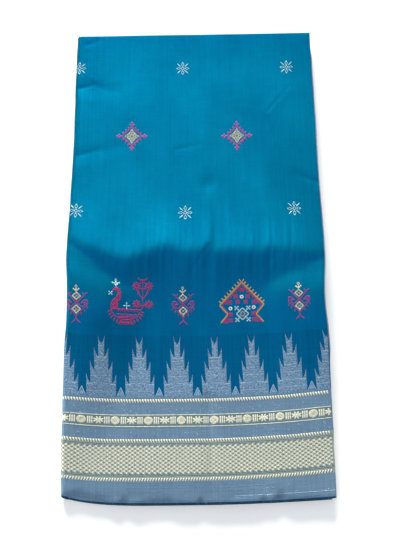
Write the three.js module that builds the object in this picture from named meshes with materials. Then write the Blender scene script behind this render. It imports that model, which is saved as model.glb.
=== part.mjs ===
// A silk saree folded flat into a packet, lying on its back panel, in millimetres.
// +X is right, +Y runs to the closed top fold, +Z is up, and the packet rests on z = 0.
// The cloth is folded once across its width, so the selvedges lie together at the bottom
// edge, and then along its length like a book, so the last fold is the round left side.
import * as THREE from 'three';

// Driving sizes of the packet
const PACKET_WIDTH = 306;
const PACKET_LENGTH = 600;
const WALL = 1.2;
const GAP = 0.3;

// Heights of the stack of layers, at the top edge, on the soft ridge and at the bottom edge
const TOP_HEIGHT = 16;
const RIDGE_HEIGHT = 33;
const BOTTOM_HEIGHT = 13;

// The ridge is the crease of an earlier fold across the middle of the length
const RIDGE_Y = -8;
const RIDGE_SLANT = -2;
const RIDGE_ROUND = 7;
const UPPER_STEEP_SHARE = 0.45;
const UPPER_STEEP_LENGTH = 62;
const LOWER_STEEP_SHARE = 0.62;
const LOWER_STEEP_LENGTH = 52;
const STEEP_POWER = 1.35;

// The ridge droops towards its ends and climbs at the left one
const RIDGE_DROOP = 4;
const RIDGE_LEFT_CLIMB = 11;

// Below the ridge the puffed edges stay higher than the middle
const SIDE_STEP = 2.2;
const SIDE_PUFF = 3;
const SIDE_PUFF_FROM = 58;
const SIDE_PUFF_LENGTH = 34;
const SIDE_POWER = 1.5;
const SIDE_INWARD = 4.4;
const SIDE_REACH = 68;
const SIDE_INWARD_POWER = 1.4;
const SIDE_SOFT = 1.6;
const SIDE_SOFT_FROM = 14;

// Bends of the outline, as departures from the plain rectangle
const RIDGE_SPREAD = 2;
const RIDGE_SPREAD_LENGTH = 70;
const TOP_TILT = 1.6;
const TOP_INSET = 0.6;
const TOP_DROP_LEFT = 1.2;
const BOTTOM_BOW = 6.6;
const BOTTOM_CORNER_INSET = 1.6;

// The woven line where the border begins
const BORDER_START = -112;
const BAND_BOW = 3;

// Rolled edges
const SPINE_DEPTH = 8;
const NOSE_RADIUS = 1.7;
const RIGHT_ROLL = 3;
const RIGHT_DROP = 1;
const BACK_INSET = 3;

// The layer below that shows beyond the right edge
const UNDER_WIDTH = 24;
const UNDER_SHOWS = 1.5;
const UNDER_LEAST = 0.2;
const UNDER_FROM = -125;
const UNDER_TO = 285;
const UNDER_TAPER = 30;

// Layers that show as ribs round the hidden stack
const LAYERS = 6;
const RIB_DEPTH_SIDE = 1.8;
const RIB_DEPTH_END = 1.1;
const BOOK_SPLIT_DEPTH = 4;

// Spacing of the rows and columns of points
const COARSE_STEP = 29;
const FINE_STEP = 8;
const FINE_REACH = 56;
const COLUMN_STEP = 28;
const EDGE_STEP = 12;
const EDGE_REACH = 36;
const CREASE_REACH = 9;
const ARC_STEPS = 8;

// Creases beside the ridge and in the border, each a soft trough or raised line
const BORDER_CREASE_X = 13;
const CREASES = [
  { name: 'crease of the border', from: [13, -186], to: [13, -303], width: 7, height: -0.9 },
  { name: 'upper left edge', from: [-152, 220], to: [-104, 219], width: 9, height: -0.5 },
  { name: 'middle left edge', from: [-152, 120], to: [-92, 136], width: 9, height: -0.45 },
  { name: 'upper right slant', from: [93, 185], to: [124, 222], width: 8, height: 0.4 },
  { name: 'middle right edge', from: [151, 83], to: [126, 95], width: 8, height: -0.5 },
];

const SILK_TEAL = { color: 0x0080ab, roughness: 0.48, metalness: 0 };
const SILK_SLATE = { color: 0x5c80aa, roughness: 0.52, metalness: 0 };
const SILK_SHADE = { color: 0x005f8c, roughness: 0.6, metalness: 0 };

const HALF_WIDTH = PACKET_WIDTH / 2;
const HALF_LENGTH = PACKET_LENGTH / 2;

// Outline of the front panel, a little wider over the ridge
function spread(y) {
  return RIDGE_SPREAD * Math.exp(-(((y - RIDGE_Y) / RIDGE_SPREAD_LENGTH) ** 2));
}

function topEdge(x) {
  const across = x / HALF_WIDTH;
  return HALF_LENGTH - TOP_INSET + TOP_TILT * across - TOP_DROP_LEFT * Math.max(0, -across) ** 3;
}

function bottomEdge(x) {
  const across = x / HALF_WIDTH;
  return -HALF_LENGTH + BOTTOM_CORNER_INSET - BOTTOM_BOW * (1 - across ** 2);
}

function borderLine(x) {
  const across = x / HALF_WIDTH;
  return BORDER_START + BAND_BOW * across ** 2;
}

// Height of the upper face of the front panel, from the ridge down to both ends
function ridgeLine(x) {
  const across = x / HALF_WIDTH;
  return RIDGE_Y + RIDGE_SLANT * across + RIDGE_LEFT_CLIMB * Math.max(0, -across) ** 5;
}

function fall(distance, reach, share, steepLength) {
  const steep = Math.exp(-((distance / steepLength) ** STEEP_POWER));
  return share * steep + (1 - share) * (1 - distance / reach);
}

// Height below the ridge near the side edges, falling gently inwards and down
function sideHeight(x, distance, ridge) {
  const fromEdge = HALF_WIDTH + RIDGE_SPREAD - Math.abs(x);
  const inward = SIDE_INWARD * (Math.max(0, fromEdge) / SIDE_REACH) ** SIDE_INWARD_POWER;
  const share = Math.min(1, distance / (HALF_LENGTH + RIDGE_Y)) ** SIDE_POWER;
  const first = ridge - SIDE_STEP;
  const puff = SIDE_PUFF * Math.exp(-(((distance - SIDE_PUFF_FROM) / SIDE_PUFF_LENGTH) ** 2));
  return first - (first - BOTTOM_HEIGHT) * share - inward + puff;
}

function stackHeight(x, y) {
  const beyond = y - ridgeLine(x);
  const distance = Math.hypot(beyond, RIDGE_ROUND) - RIDGE_ROUND;
  const ridge = RIDGE_HEIGHT - RIDGE_DROOP * (x / HALF_WIDTH) ** 4;
  if (beyond > 0) {
    const share = fall(distance, HALF_LENGTH - RIDGE_Y, UPPER_STEEP_SHARE, UPPER_STEEP_LENGTH);
    return TOP_HEIGHT + (ridge - TOP_HEIGHT) * share;
  }
  const share = fall(distance, HALF_LENGTH + RIDGE_Y, LOWER_STEEP_SHARE, LOWER_STEEP_LENGTH);
  const middle = BOTTOM_HEIGHT + (ridge - BOTTOM_HEIGHT) * share;
  const above = sideHeight(x, distance, ridge) - middle;
  const soft = SIDE_SOFT * Math.min(1, distance / SIDE_SOFT_FROM);
  return middle + (above + Math.hypot(above, soft)) / 2;
}

function creaseHeight(x, y) {
  let height = 0;
  for (const crease of CREASES) {
    const [startX, startY] = crease.from;
    const alongX = crease.to[0] - startX;
    const alongY = crease.to[1] - startY;
    const length = Math.hypot(alongX, alongY);
    const along = ((x - startX) * alongX + (y - startY) * alongY) / length ** 2;
    const side = ((x - startX) * alongY - (y - startY) * alongX) / length;
    const clamped = Math.min(1, Math.max(0, along));
    const past = (along - clamped) * length;
    const away = Math.hypot(side, past) / crease.width;
    height += crease.height * (1 - 0.6 * clamped) * Math.exp(-(away ** 2));
  }
  return height;
}

function surface(x, y) {
  return stackHeight(x, y) + creaseHeight(x, y);
}

// Even places from one value up to the next, without the last
function steps(from, to, step) {
  const count = Math.max(1, Math.round(Math.abs(to - from) / step));
  return Array.from({ length: count }, (_, index) => from + ((to - from) * index) / count);
}

// Shares of the way from the border line to the top fold, close together over the ridge
const fieldLength = HALF_LENGTH - BORDER_START;
const FIELD_ROWS = [
  ...steps(BORDER_START, RIDGE_Y - FINE_REACH, COARSE_STEP),
  ...steps(RIDGE_Y - FINE_REACH, RIDGE_Y + FINE_REACH, FINE_STEP),
  ...steps(RIDGE_Y + FINE_REACH, HALF_LENGTH, COARSE_STEP),
  HALF_LENGTH,
].map((y) => (y - BORDER_START) / fieldLength);

const BORDER_ROWS = [...steps(0, 1, COARSE_STEP / (HALF_LENGTH + BORDER_START)), 1];

// Columns across the panel, from the inner side of the spine to the right edge
const flatFrom = -HALF_WIDTH + SPINE_DEPTH;
const flatTo = HALF_WIDTH - UNDER_WIDTH - 1;
const UNDER_COLUMNS = [
  HALF_WIDTH - UNDER_WIDTH,
  HALF_WIDTH - RIGHT_ROLL * 3,
  HALF_WIDTH - RIGHT_ROLL,
  HALF_WIDTH,
];
const COLUMNS = [
  ...steps(flatFrom, flatFrom + EDGE_REACH, EDGE_STEP),
  ...steps(flatFrom + EDGE_REACH, BORDER_CREASE_X - CREASE_REACH, COLUMN_STEP),
  BORDER_CREASE_X - CREASE_REACH,
  BORDER_CREASE_X,
  ...steps(BORDER_CREASE_X + CREASE_REACH, flatTo, COLUMN_STEP),
  flatTo,
  ...UNDER_COLUMNS,
];

function columnX(column, y) {
  return column + (column / HALF_WIDTH) * spread(y);
}

function gridPoint(column, row, rowToY) {
  const y = rowToY(column, row);
  return { x: columnX(column, y), y };
}

function fieldY(column, row) {
  const start = borderLine(column) + GAP;
  const end = topEdge(column) - NOSE_RADIUS - GAP;
  return start + (end - start) * row;
}

function borderY(column, row) {
  const start = bottomEdge(column);
  return start + (borderLine(column) - start) * row;
}

// Drop of the front panel where it rolls over at its right edge
function rightDrop(column) {
  const past = Math.max(0, column - (HALF_WIDTH - RIGHT_ROLL)) / RIGHT_ROLL;
  return RIGHT_DROP * past ** 2;
}

function grid(columns, rows, rowToY, heightAt) {
  return rows.map((row) => columns.map((column) => {
    const { x, y } = gridPoint(column, row, rowToY);
    return new THREE.Vector3(x, y, heightAt(column, x, y));
  }));
}

// Closed bodies are made from two grids of points, an outer and an inner one
function addQuad(triangles, first, second, third, fourth) {
  triangles.push(first, second, third, first, third, fourth);
}

function loopOf(rows, columns) {
  const loop = [];
  for (let column = 0; column < columns - 1; column += 1) {
    loop.push([0, column]);
  }
  for (let row = 0; row < rows - 1; row += 1) {
    loop.push([row, columns - 1]);
  }
  for (let column = columns - 1; column > 0; column -= 1) {
    loop.push([rows - 1, column]);
  }
  for (let row = rows - 1; row > 0; row -= 1) {
    loop.push([row, 0]);
  }
  return loop;
}

function signedVolume(points, triangles) {
  let volume = 0;
  for (let index = 0; index < triangles.length; index += 3) {
    const [first, second, third] = triangles.slice(index, index + 3).map((corner) => points[corner]);
    volume += first.dot(new THREE.Vector3().crossVectors(second, third)) / 6;
  }
  return volume;
}

// The body between an outer and an inner grid, with rings of points round its rim
function closedBody(outer, inner, rings = []) {
  const rows = outer.length;
  const columns = outer[0].length;
  const points = [...outer.flat(), ...inner.flat()];
  const innerStart = rows * columns;
  const triangles = [];
  for (let row = 0; row < rows - 1; row += 1) {
    for (let column = 0; column < columns - 1; column += 1) {
      const corner = row * columns + column;
      addQuad(triangles, corner, corner + 1, corner + columns + 1, corner + columns);
      const below = innerStart + corner;
      addQuad(triangles, below, below + columns, below + columns + 1, below + 1);
    }
  }
  const loop = loopOf(rows, columns);
  const courses = [loop.map(([row, column]) => row * columns + column)];
  for (const ring of rings) {
    courses.push(loop.map(([row, column]) => {
      points.push(ring(row, column));
      return points.length - 1;
    }));
  }
  courses.push(courses[0].map((corner) => innerStart + corner));
  for (let course = 0; course < courses.length - 1; course += 1) {
    const upper = courses[course];
    const lower = courses[course + 1];
    for (let index = 0; index < loop.length; index += 1) {
      const next = (index + 1) % loop.length;
      addQuad(triangles, lower[index], lower[next], upper[next], upper[index]);
    }
  }
  if (signedVolume(points, triangles) < 0) {
    triangles.reverse();
  }
  const geometry = new THREE.BufferGeometry();
  geometry.setAttribute('position', new THREE.Float32BufferAttribute(points.flatMap((p) => p.toArray()), 3));
  geometry.setIndex(triangles);
  geometry.computeVertexNormals();
  return geometry;
}

function lowered(points, depth) {
  return points.map((row) => row.map((point) => point.clone().setZ(point.z - depth)));
}

function piece(name, geometry, finish) {
  const mesh = new THREE.Mesh(geometry, new THREE.MeshStandardMaterial(finish));
  mesh.name = name;
  return mesh;
}

// The front panel has a teal field and a bordered stretch
function frontHeight(column, x, y) {
  return surface(x, y) - rightDrop(column);
}

function frontField() {
  const outer = grid(COLUMNS, FIELD_ROWS, fieldY, frontHeight);
  return piece('front_field', closedBody(outer, lowered(outer, WALL)), SILK_TEAL);
}

function frontBorder() {
  const outer = grid(COLUMNS, BORDER_ROWS, borderY, frontHeight);
  return piece('front_border', closedBody(outer, lowered(outer, WALL)), SILK_SLATE);
}

// Rows of the whole length, in the same places as the rows of the two front stretches
const LENGTH_ROWS = [
  ...BORDER_ROWS.slice(0, -1).map((row) => ({ row, rowToY: borderY })),
  ...FIELD_ROWS.map((row) => ({ row, rowToY: fieldY })),
];

function lengthGrid(columns, heightAt) {
  return LENGTH_ROWS.map(({ row, rowToY }) => columns.map((column) => {
    const { x, y } = gridPoint(column, row, rowToY);
    return new THREE.Vector3(x, y, heightAt(column, x, y));
  }));
}

// The round left side, where the outer cloth turns from the front to the back
function leftFold() {
  const arc = (inset) => LENGTH_ROWS.map(({ row, rowToY }) => {
    const { x, y } = gridPoint(flatFrom, row, rowToY);
    const middle = surface(x, y) / 2;
    const points = [];
    for (let step = 0; step <= ARC_STEPS; step += 1) {
      const turn = (Math.PI * step) / ARC_STEPS;
      const reach = (SPINE_DEPTH - inset) * Math.sin(turn);
      points.push(new THREE.Vector3(x - GAP - reach, y, middle - (middle - inset) * Math.cos(turn)));
    }
    return points;
  });
  return piece('left_fold', closedBody(arc(0), arc(WALL)), SILK_TEAL);
}

// The top edge, where the width of the cloth is folded in half
function topFold() {
  const arc = (inset) => COLUMNS.map((column) => {
    const y = topEdge(column) - NOSE_RADIUS;
    const x = columnX(column, y);
    const middle = frontHeight(column, x, y) - NOSE_RADIUS;
    const points = [];
    for (let step = 0; step <= ARC_STEPS; step += 1) {
      const turn = (Math.PI * step) / ARC_STEPS;
      const radius = NOSE_RADIUS - inset;
      points.push(new THREE.Vector3(x, y + radius * Math.sin(turn), middle + radius * Math.cos(turn)));
    }
    return points;
  });
  return piece('top_fold', closedBody(arc(0), arc(WALL)), SILK_TEAL);
}

// The next layer down, whose folded edge shows beyond the front panel's right edge
function underShows(y) {
  const fromBottom = (y - UNDER_FROM) / UNDER_TAPER;
  const fromTop = (UNDER_TO - y) / UNDER_TAPER;
  const share = THREE.MathUtils.smoothstep(Math.min(fromBottom, fromTop), 0, 1);
  return UNDER_LEAST + (UNDER_SHOWS - UNDER_LEAST) * share;
}

function underLayer() {
  const outer = lengthGrid(UNDER_COLUMNS, (column, x, y) => frontHeight(column, x, y) - WALL - GAP);
  for (const row of outer) {
    const nose = row[row.length - 1].clone();
    const shows = underShows(nose.y);
    nose.x += shows;
    nose.z -= (shows * RIGHT_DROP) / RIGHT_ROLL;
    row.push(nose);
  }
  return piece('under_layer', closedBody(outer, lowered(outer, WALL)), SILK_SHADE);
}

// The hidden layers, as one rounded body with ribs where their edges show
function ribbed(share, depth) {
  const rib = Math.abs(Math.sin(share * LAYERS * Math.PI));
  return depth * rib;
}

function hiddenLayers() {
  const columns = COLUMNS.slice(0, -1).map((x) => (x === UNDER_COLUMNS[0] ? x - GAP : x));
  const last = columns.length - 1;
  const lastRow = LENGTH_ROWS.length - 1;
  const cover = WALL + GAP;
  const top = lengthGrid(columns, (column, x, y) => {
    const underStep = column > flatTo ? cover : 0;
    return surface(x, y) - cover - underStep;
  });
  const inset = (points) => {
    for (const point of points[0]) {
      point.y += BACK_INSET;
    }
    for (const point of points[lastRow]) {
      point.y -= BACK_INSET;
    }
    return points;
  };
  inset(top);
  const bottom = top.map((row) => row.map((point) => point.clone().setZ(cover)));
  const rings = [];
  const courses = LAYERS * 2;
  for (let course = 1; course < courses; course += 1) {
    const share = 1 - course / courses;
    rings.push((row, column) => {
      const point = top[row][column].clone();
      point.z = cover + (point.z - cover) * share;
      if (column === 0) {
        const turned = Math.sqrt(Math.max(0, 1 - (2 * share - 1) ** 2));
        point.x -= (SPINE_DEPTH - cover - GAP) * turned;
      }
      if (column === last) {
        const split = course === LAYERS ? BOOK_SPLIT_DEPTH : 0;
        point.x += ribbed(share, RIB_DEPTH_SIDE) - split;
      }
      if (row === 0) {
        point.y -= ribbed(share, RIB_DEPTH_END);
      }
      if (row === lastRow) {
        point.y += ribbed(share, RIB_DEPTH_END);
      }
      return point;
    });
  }
  return piece('hidden_layers', closedBody(top, bottom, rings), SILK_SHADE);
}

// The back panel, flat on the surface that the packet rests on
function backPanel() {
  const columns = [flatFrom, 0, HALF_WIDTH - RIGHT_ROLL];
  const outer = lengthGrid(columns, () => WALL);
  return piece('back_panel', closedBody(outer, lowered(outer, WALL)), SILK_TEAL);
}

const saree = new THREE.Group();
saree.add(frontField());
saree.add(frontBorder());
saree.add(leftFold());
saree.add(topFold());
saree.add(underLayer());
saree.add(hiddenLayers());
saree.add(backPanel());

export default saree;
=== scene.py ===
import math

import bpy
import numpy as np
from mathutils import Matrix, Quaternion, Vector


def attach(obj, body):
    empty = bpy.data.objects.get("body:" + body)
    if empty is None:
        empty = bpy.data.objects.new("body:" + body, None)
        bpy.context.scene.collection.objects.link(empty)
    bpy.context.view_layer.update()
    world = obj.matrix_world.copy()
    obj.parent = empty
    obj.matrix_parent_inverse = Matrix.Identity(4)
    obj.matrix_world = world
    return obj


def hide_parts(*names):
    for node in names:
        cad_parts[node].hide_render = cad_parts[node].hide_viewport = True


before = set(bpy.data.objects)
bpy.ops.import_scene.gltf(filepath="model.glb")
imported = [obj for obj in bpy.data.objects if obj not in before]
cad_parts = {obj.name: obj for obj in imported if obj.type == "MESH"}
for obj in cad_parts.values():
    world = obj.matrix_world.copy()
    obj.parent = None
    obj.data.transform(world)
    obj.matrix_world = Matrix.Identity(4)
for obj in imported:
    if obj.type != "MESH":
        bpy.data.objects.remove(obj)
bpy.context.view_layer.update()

# Everything below is in millimetres of real cloth until make_mesh turns it into metres
MM = 0.001

# Driving sizes of the packet
PACKET_WIDTH = 306.0
PACKET_LENGTH = 600.0
HALF_WIDTH = PACKET_WIDTH / 2
HALF_LENGTH = PACKET_LENGTH / 2
SPINE_DEPTH = 8.0
FLAT_LEFT = SPINE_DEPTH - HALF_WIDTH

# Heights of the stack of layers, and the ridge left by an earlier fold
TOP_HEIGHT = 16.0
RIDGE_HEIGHT = 33.0
BOTTOM_HEIGHT = 13.0
RIDGE_Y = -9.5
RIDGE_SLANT = -2.0
RIDGE_ROUND = 4.8
UPPER_STEEP_SHARE = 0.36
UPPER_STEEP_LENGTH = 46.0
LOWER_STEEP_SHARE = 0.62
LOWER_STEEP_LENGTH = 52.0
STEEP_POWER = 1.2

# The ridge droops towards its ends and climbs at the left one
RIDGE_DROOP = 4.0
RIDGE_LEFT_CLIMB = 20.0

# Below the ridge the puffed edges stay higher than the middle
SIDE_STEP = 1.0
SIDE_PUFF = 4.6
SIDE_PUFF_FROM = 50.0
SIDE_PUFF_LENGTH = 32.0
SIDE_PUFF_BELOW = 60.0
SIDE_POWER = 1.5
SIDE_INWARD = 9.0
SIDE_REACH = 68.0
LEFT_FLAT = 8.0
SIDE_INWARD_POWER = 1.25
SIDE_SOFT = 1.6
SIDE_SOFT_FROM = 14.0

# Bends of the outline
RIDGE_SPREAD = 2.0
RIDGE_SPREAD_LENGTH = 70.0
RIDGE_SPREAD_BELOW = 32.0
RIDGE_SHIFT = 1.2
SIDE_PINCH = (0.3, 2.6)
LEFT_SWELL = 0.9
BORDER_SWELL = (2.5, 0.9)
TOP_RISE = 0.9
TOP_TILT = 1.6
TOP_DROP_LEFT = 1.2
TOP_EASE = 2.1
TOP_EASE_FROM = 235.0
TOP_EASE_LENGTH = 66.0
CURL_FROM = -299.5
CURL_LENGTH = 8.0
CURL_DEPTH = 2.6
BORDER_SPREAD = (88.0, 136.0)
CORNER_SPREAD = (262.0, 296.0)
PINCH_PLACE = -68.0
PINCH_LENGTH = 32.0

# Heights of the loose waves in the cloth, and where its edges are free of them
RAGGED_RIDGE = (3.6, 1.9)
RAGGED_REACH = 46.0
EDGES_FROM = (118.0, 146.0)
STREAK_HEIGHTS = (0.07, 0.05, 0.025)
ROLL_HEIGHT = 0.55
SOFT_HEIGHT = 0.16
RIGHT_EDGE_WAVES = (0.35, 9.0)
LEFT_EDGE_WAVES = (0.5, 0.25)
CREASE_FADE = 0.6

# How far the two ends of a woven row stand above its middle, at each place along the packet
ROW_BOW = (
    # place, left, right
    (-305.0, 10.3, 4.6),
    (-278.0, 4.9, 7.6),
    (-236.0, 4.8, 7.2),
    (-218.0, 5.2, 7.3),
    (-205.0, 4.2, 7.2),
    (-188.0, 4.4, 7.2),
    (-112.0, 3.4, 4.6),
    (-75.0, 3.0, 2.8),
    (44.0, 6.1, 5.3),
    (149.0, 4.0, 3.5),
    (250.0, 2.0, 1.8),
    (300.0, 0.6, 0.6),
)
LEFT_POWER = 4.5
RIGHT_POWER = 1.9

# Soft troughs and raised lines
CREASES = (
    # start, end, half width, height
    ((13, -186), (13, -303), 7, -0.9),
    ((-152, 220), (-104, 217), 11, -0.8),
    ((-152, 120), (-92, 136), 9, -0.45),
    ((93, 185), (124, 222), 8, 0.16),
    ((151, 83), (126, 95), 8, -0.5),
    ((-112, -88), (-96, -92), 17, 0.8),
)

# Places where the ridge climbs a little, or sinks
RIDGE_NOTCHES = (
    # x, climb, half width
    (-92.0, -8.0, 28.0),
    (-27.0, 3.0, 9.0),
    (15.5, 10.0, 6.0),
    (88.0, 6.0, 9.0),
)

# Places where the bottom edge turns down earlier
BOTTOM_TURNS = (
    # x, how far up, half width
    (-134.0, 9.0, 15.0),
    (-106.0, 7.0, 12.0),
    (-82.0, 7.0, 6.0),
    (-46.0, 5.0, 14.0),
    (-34.0, 4.0, 8.0),
    (3.0, 6.0, 4.0),
    (74.0, 5.0, 5.0),
    (92.0, 8.0, 8.0),
)

# Finer creases that only the shell has
FINE_CREASES = (
    # start, end, half width, height
    ((-151, 219), (-128, 226), 3.0, -0.45),
    ((-128, 226), (-106, 215), 3.4, -0.18),
    ((-152, 121), (-118, 131), 3.0, -0.25),
    ((-140, 286), (-124, 291), 3.4, -0.3),
    ((151, 84), (128, 94), 2.6, -0.3),
    ((93, 185), (122, 221), 2.4, -0.16),
    ((-22, 130), (8, 137), 3.2, -0.2),
    ((13, -188), (13, -304), 1.1, -0.42),
    ((-120, -296), (-40, -297), 5.0, -0.7),
    ((40, -297), (70, -296), 4.0, -0.45),
    ((18, 80), (27, 76), 12.0, -0.7),
    ((14, -4), (-4, -32), 2.8, -0.35),
    ((98, -22), (80, -38), 3.4, 0.22),
)

# Places of the woven bands along the middle of the packet, from the temples to the rim
FIELD_END = -112.0
TEMPLE_FOOT = -183.6
ROPE_1 = (-190.6, -186.3)
LINE_1 = -204.8
ROSETTE_BAND = (-215.2, -206.6)
LINE_2 = -218.0
ROPE_2 = (-236.0, -232.2)
LATTICE = (-272.0, -238.2)
ROPE_3 = (-279.3, -275.4)
PALE_LINE = -296.6
RIM = (-304.4, -302.4)

# Colours, as linear red, green and blue
COLOURS = {
    "teal": (0.001, 0.136, 0.262),
    "teal_light": (0.0011, 0.156, 0.293),
    "teal_dark": (0.0009, 0.112, 0.23),
    "temple_ground": (0.0012, 0.116, 0.272),
    "slate": (0.176, 0.290, 0.425),
    "slate_light": (0.214, 0.338, 0.480),
    "navy": (0.018, 0.080, 0.158),
    "rosette_ground": (0.180, 0.265, 0.310),
    "silver": (0.052, 0.136, 0.262),
    "silver_mid": (0.108, 0.212, 0.36),
    "silver_light": (0.31, 0.45, 0.62),
    "eye": (0.060, 0.095, 0.095),
    "zari": (0.800, 0.760, 0.560),
    "zari_light": (0.900, 0.890, 0.760),
    "grey_green": (0.375, 0.450, 0.420),
    "grey_green_dark": (0.300, 0.345, 0.320),
    "lattice": (0.375, 0.432, 0.385),
    "white": (0.42, 0.67, 0.71),
    "bright_white": (0.800, 0.850, 0.830),
    "deep": (0.0008, 0.132, 0.315),
    "deep_light": (0.0009, 0.155, 0.35),
    "deep_dark": (0.0007, 0.108, 0.272),
    "pale_blue": (0.4, 0.6, 0.66),
    "crimson": (0.43, 0.042, 0.165),
    "magenta": (0.36, 0.05, 0.235),
    "violet": (0.21, 0.075, 0.27),
    "beige": (0.40, 0.365, 0.23),
    "ochre": (0.56, 0.31, 0.095),
    "ink": (0.020, 0.050, 0.075),
}


# Form of the cloth

def smoothstep(values, low, high):
    share = np.clip((values - low) / (high - low), 0.0, 1.0)
    return share * share * (3 - 2 * share)


def bell(distance, width):
    """One in the middle, fading to nearly nothing two widths away."""
    return np.exp(-((distance / width) ** 2))


def unit(vectors):
    return vectors / np.maximum(np.linalg.norm(vectors, axis=-1, keepdims=True), 1e-9)


class Noise:
    """Smooth noise along one direction, the same on every run."""

    def __init__(self, seed, step, count=512):
        self.step = step
        self.values = np.random.RandomState(seed).uniform(-1.0, 1.0, count)

    def __call__(self, places):
        spot = np.asarray(places, float) / self.step + len(self.values) / 2
        low = np.floor(spot).astype(int)
        share = spot - low
        share = share * share * (3 - 2 * share)
        count = len(self.values)
        return self.values[low % count] * (1 - share) + self.values[(low + 1) % count] * share


RAGGED = Noise(11, 21.0)
STREAK = Noise(12, 3.4)
STREAK_FINE = Noise(13, 1.5)
STREAK_REACH = Noise(14, 9.0)
ROLL_X = Noise(15, 46.0)
ROLL_Y = Noise(16, 58.0)
SOFT_X = Noise(17, 21.0)
SOFT_Y = Noise(18, 33.0)
EDGE_WAVE = Noise(19, 24.0)


def spread(y):
    """How far the packet swells out over the ridge, for less length below it."""
    away = np.asarray(y, float) - RIDGE_Y
    length = np.where(away > 0, RIDGE_SPREAD_LENGTH, RIDGE_SPREAD_BELOW)
    return RIDGE_SPREAD * bell(away, length)


def row_y(x, place):
    """The real place of a woven row at x, from its place along the middle of the packet."""
    across = np.asarray(x, float) / HALF_WIDTH
    places, lefts, rights = zip(*ROW_BOW)
    left = np.interp(place, places, lefts) * np.maximum(0.0, -across) ** LEFT_POWER
    right = np.interp(place, places, rights) * np.maximum(0.0, across) ** RIGHT_POWER
    corner = smoothstep(np.asarray(place, float), 230.0, HALF_LENGTH)
    top = TOP_RISE + TOP_TILT * across - TOP_DROP_LEFT * np.maximum(0.0, -across) ** 3
    return place + left + right + corner * top


def cloth_x(x, y):
    """Real x on the packet, which swells over the ridge and at the border."""
    across = x / HALF_WIDTH
    y = np.asarray(y, float)
    border = smoothstep(-y, *BORDER_SPREAD)
    corner = smoothstep(-y, *CORNER_SPREAD)
    below = bell(y - PINCH_PLACE, PINCH_LENGTH)
    shift = RIDGE_SHIFT / RIDGE_SPREAD * spread(y)
    swell = LEFT_SWELL + BORDER_SWELL[0] * border * (1 - corner)
    to_left = np.maximum(0.0, -across)
    to_right = np.maximum(0.0, across)
    left = to_left ** 3 * (shift - SIDE_PINCH[0] * below) + to_left ** 8 * swell
    right = to_right ** 8 * BORDER_SWELL[1] * border - to_right ** 3 * (shift + SIDE_PINCH[1] * below)
    return x + across * spread(y) - left + right


def fall(distance, reach, share, steep_length):
    steep = np.exp(-((distance / steep_length) ** STEEP_POWER))
    return share * steep + (1 - share) * (1 - distance / reach)


def line_height(x, y, creases):
    height = np.zeros(np.broadcast(x, y).shape)
    for start, end, width, depth in creases:
        along_x = end[0] - start[0]
        along_y = end[1] - start[1]
        length = math.hypot(along_x, along_y)
        along = ((x - start[0]) * along_x + (y - start[1]) * along_y) / length ** 2
        side = ((x - start[0]) * along_y - (y - start[1]) * along_x) / length
        clamped = np.clip(along, 0.0, 1.0)
        away = np.hypot(side, (along - clamped) * length)
        height += depth * (1 - CREASE_FADE * clamped) * bell(away, width)
    return height


def ridge_line(x):
    across = x / HALF_WIDTH
    return RIDGE_Y + RIDGE_SLANT * across + RIDGE_LEFT_CLIMB * np.maximum(0.0, -across) ** 8


def side_height(x, distance, ridge):
    """Height below the ridge near the side edges, falling gently inwards and down."""
    flat = np.where(x < 0, LEFT_FLAT, 0.0)
    from_edge = np.maximum(0.0, HALF_WIDTH + RIDGE_SPREAD - np.abs(x) - flat)
    inward = SIDE_INWARD * (from_edge / SIDE_REACH) ** SIDE_INWARD_POWER
    first = ridge - SIDE_STEP
    share = np.clip(distance / (HALF_LENGTH + RIDGE_Y), 0.0, 1.0) ** SIDE_POWER
    length = np.where(distance < SIDE_PUFF_FROM, SIDE_PUFF_LENGTH, SIDE_PUFF_BELOW)
    puff = SIDE_PUFF * bell(distance - SIDE_PUFF_FROM, length)
    return first - (first - BOTTOM_HEIGHT) * share - inward + puff


def stack_height(x, y, ragged=0.0):
    beyond = y - ridge_line(x) + ragged
    distance = np.hypot(beyond, RIDGE_ROUND) - RIDGE_ROUND
    ridge = RIDGE_HEIGHT - RIDGE_DROOP * (x / HALF_WIDTH) ** 4
    upper = fall(distance, HALF_LENGTH - RIDGE_Y, UPPER_STEEP_SHARE, UPPER_STEEP_LENGTH)
    lower = fall(distance, HALF_LENGTH + RIDGE_Y, LOWER_STEEP_SHARE, LOWER_STEEP_LENGTH)
    upper_height = TOP_HEIGHT + (ridge - TOP_HEIGHT) * upper
    lower_height = BOTTOM_HEIGHT + (ridge - BOTTOM_HEIGHT) * lower
    above = side_height(x, distance, ridge) - lower_height
    soft = SIDE_SOFT * np.clip(distance / SIDE_SOFT_FROM, 0.0, 1.0)
    lower_height = lower_height + (above + np.hypot(above, soft)) / 2
    return np.where(beyond > 0, upper_height, lower_height)


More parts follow.
